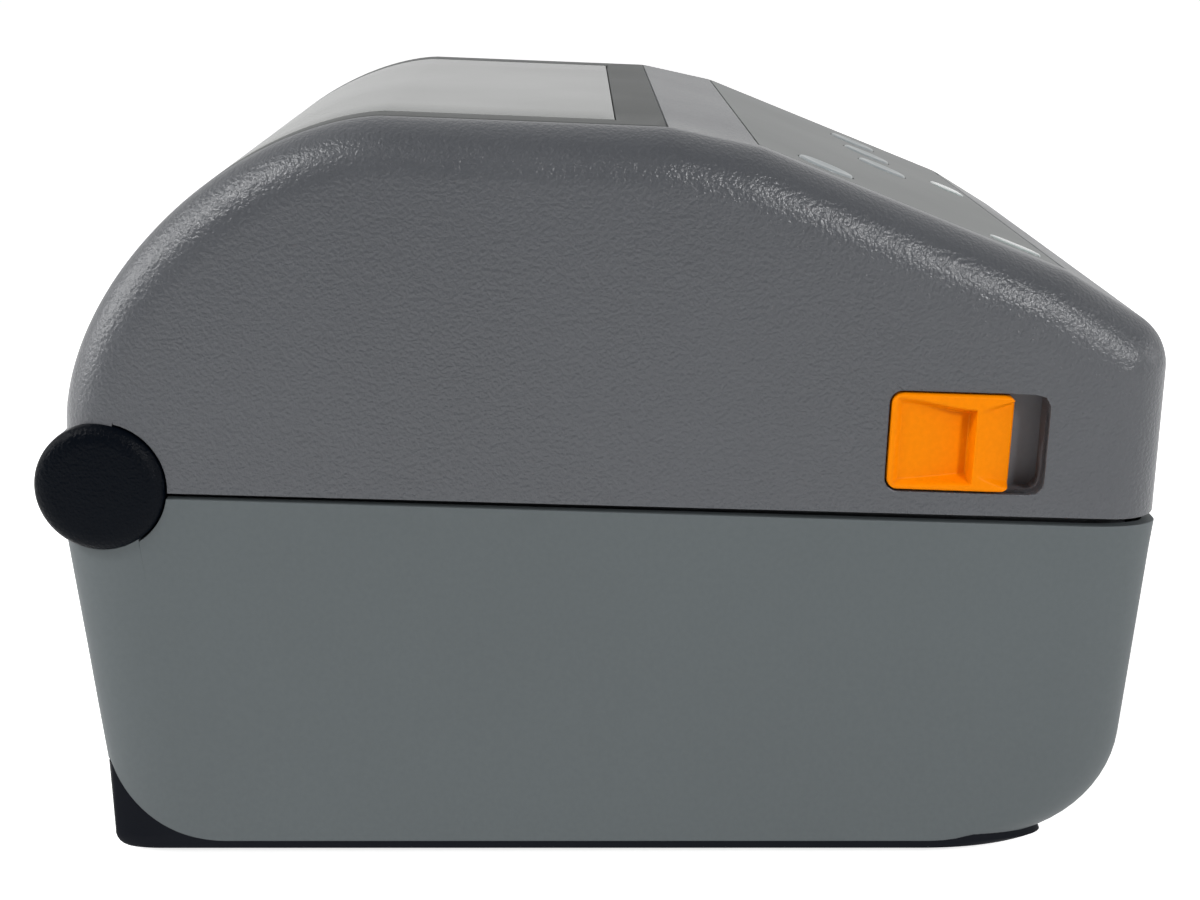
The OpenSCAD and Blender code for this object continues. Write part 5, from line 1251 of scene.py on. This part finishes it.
class PRINTER_OT_casing(bpy.types.Operator):
    """Lower casing with its oval corners, openings and the rounded edge at the hinge, and the tray's rim."""
    bl_idname = "printer.casing"
    bl_label = "Lower casing"

    def execute(self, context):
        sizes, _ = settings()
        fit(join("casing_moulding", build_casing(sizes)), "base", "casing_plastic", "lower_casing")
        fit(build_sole(sizes), "base", "tray_plastic")
        return {"FINISHED"}


class PRINTER_OT_window(bpy.types.Operator):
    """Window, the dark strip round it and the control panel's film."""
    bl_idname = "printer.window"
    bl_label = "Window and panel"

    def execute(self, context):
        sizes, _ = settings()
        skin = Skin(sizes)
        m = skin.landmarks()
        pane = skin_slab("window_pane", skin, m["window"], m["window_low"], sizes.window_half - 0.1, 1.6, 0.35)
        fit(pane, "cover", "window_clear", "window")
        strip = skin_frame("window_strip", skin, (m["facet"] + 0.06, m["frame_low"] - 0.06, sizes.frame_half),
                           (m["window"] - 0.15, m["window_low"] + 0.15, sizes.window_half + 0.1), FRAME_SUNK)
        fit(strip, "cover", "frame_plastic", "window_frame")
        fit(build_panel(sizes), "cover", "panel_overlay", "control_panel")
        return {"FINISHED"}


class PRINTER_OT_keys(bpy.types.Operator):
    """Four round keys and two light windows in the control panel."""
    bl_idname = "printer.keys"
    bl_label = "Keys and lights"

    def execute(self, context):
        sizes, _ = settings()
        for name in BUTTONS:
            fit(build_button(name, sizes), name, "button_plastic", name)
        fit(join("light_windows", [build_lens(0), build_lens(1)]), "cover", "lens_clear", "status_lenses")
        return {"FINISHED"}


class PRINTER_OT_latches(bpy.types.Operator):
    """Orange latch on each side, with its thumb pocket, ridge and stem."""
    bl_idname = "printer.latches"
    bl_label = "Latches"

    def execute(self, context):
        sizes, _ = settings()
        for side, sign in (("left", -1), ("right", 1)):
            latch = build_latch(sign, sizes)
            latch.name = latch.data.name = f"latch_piece_{side}"
            fit(latch, f"latch_{side}", "latch_plastic", f"latch_{side}")
        return {"FINISHED"}


class PRINTER_OT_caps(bpy.types.Operator):
    """Round black caps over the two ends of the hinge."""
    bl_idname = "printer.caps"
    bl_label = "Hinge caps"

    def execute(self, context):
        sizes, _ = settings()
        fit(join("hinge_cap_pair", [build_cap(-1, sizes), build_cap(1, sizes)]), "base", "cap_plastic", "hinge_caps")
        return {"FINISHED"}


class PRINTER_OT_springs(bpy.types.Operator):
    """Coil springs that press the printhead down."""
    bl_idname = "printer.springs"
    bl_label = "Printhead springs"

    def execute(self, context):
        coils = fit(join("head_coils", [build_spring(-32), build_spring(32)]), "cover", "bright_steel", "head_springs")
        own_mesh(coils)
        return {"FINISHED"}


class PRINTER_OT_finishes(bpy.types.Operator):
    """Procedural finishes on the pieces that keep their CAD shape."""
    bl_idname = "printer.finishes"
    bl_label = "Finishes of the inner parts"

    def execute(self, context):
        for slot, names in NODE_SLOTS.items():
            for name in names.split():
                held = frame["nodes"][name].data.materials
                if not held:
                    held.append(finish(slot))
                for k in range(len(held)):
                    held[k] = finish(slot)
        return {"FINISHED"}


class PRINTER_OT_stage(bpy.types.Operator):
    """Pale floor, plain background, soft studio light and the camera."""
    bl_idname = "printer.stage"
    bl_label = "Stage, light and camera"

    def execute(self, context):
        _, colours = settings()
        scene = context.scene
        scene.view_settings.view_transform = "Standard"
        x, y = np.meshgrid(np.linspace(-9, 9, 25), np.linspace(-9, 9, 25), indexing="ij")
        floor = make_mesh("floor", np.stack([x, y, 0 * x - 0.00005], -1).reshape(-1, 3) / MM, quads(25, 25)[:, ::-1])
        floor.data.materials.append(paper("floor_paper", tuple(colours.floor)))
        studio_world(scene)
        for row in LAMPS:
            lamp(*row)
        side_camera(scene)
        return {"FINISHED"}


OPERATORS = [PRINTER_OT_stage, PRINTER_OT_finishes, PRINTER_OT_cover, PRINTER_OT_casing, PRINTER_OT_window,
             PRINTER_OT_keys, PRINTER_OT_latches, PRINTER_OT_caps, PRINTER_OT_springs]


class PRINTER_PT_tools(bpy.types.Panel):
    """Lists the pieces of the printer."""
    bl_label = "Label printer"
    bl_idname = "PRINTER_PT_tools"
    bl_space_type = "VIEW_3D"
    bl_region_type = "UI"
    bl_category = "Printer"

    def draw(self, context):
        for operator in OPERATORS:
            self.layout.operator(operator.bl_idname)
        for name in PrinterSizes.__annotations__:
            self.layout.prop(context.scene.printer_sizes, name)
        for name in PrinterColours.__annotations__:
            self.layout.prop(context.scene.printer_colours, name)


CLASSES = [PrinterSizes, PrinterColours, *OPERATORS, PRINTER_PT_tools]


def register():
    for cls in CLASSES:
        bpy.utils.register_class(cls)
    bpy.types.Scene.printer_sizes = bpy.props.PointerProperty(type=PrinterSizes)
    bpy.types.Scene.printer_colours = bpy.props.PointerProperty(type=PrinterColours)


def unregister():
    del bpy.types.Scene.printer_colours
    del bpy.types.Scene.printer_sizes
    for cls in reversed(CLASSES):
        bpy.utils.unregister_class(cls)


def main():
    """Runs every operator."""
    register()
    for operator in OPERATORS:
        group_name, call = operator.bl_idname.split(".")
        getattr(getattr(bpy.ops, group_name), call)()


if __name__ == "__main__":
    main()
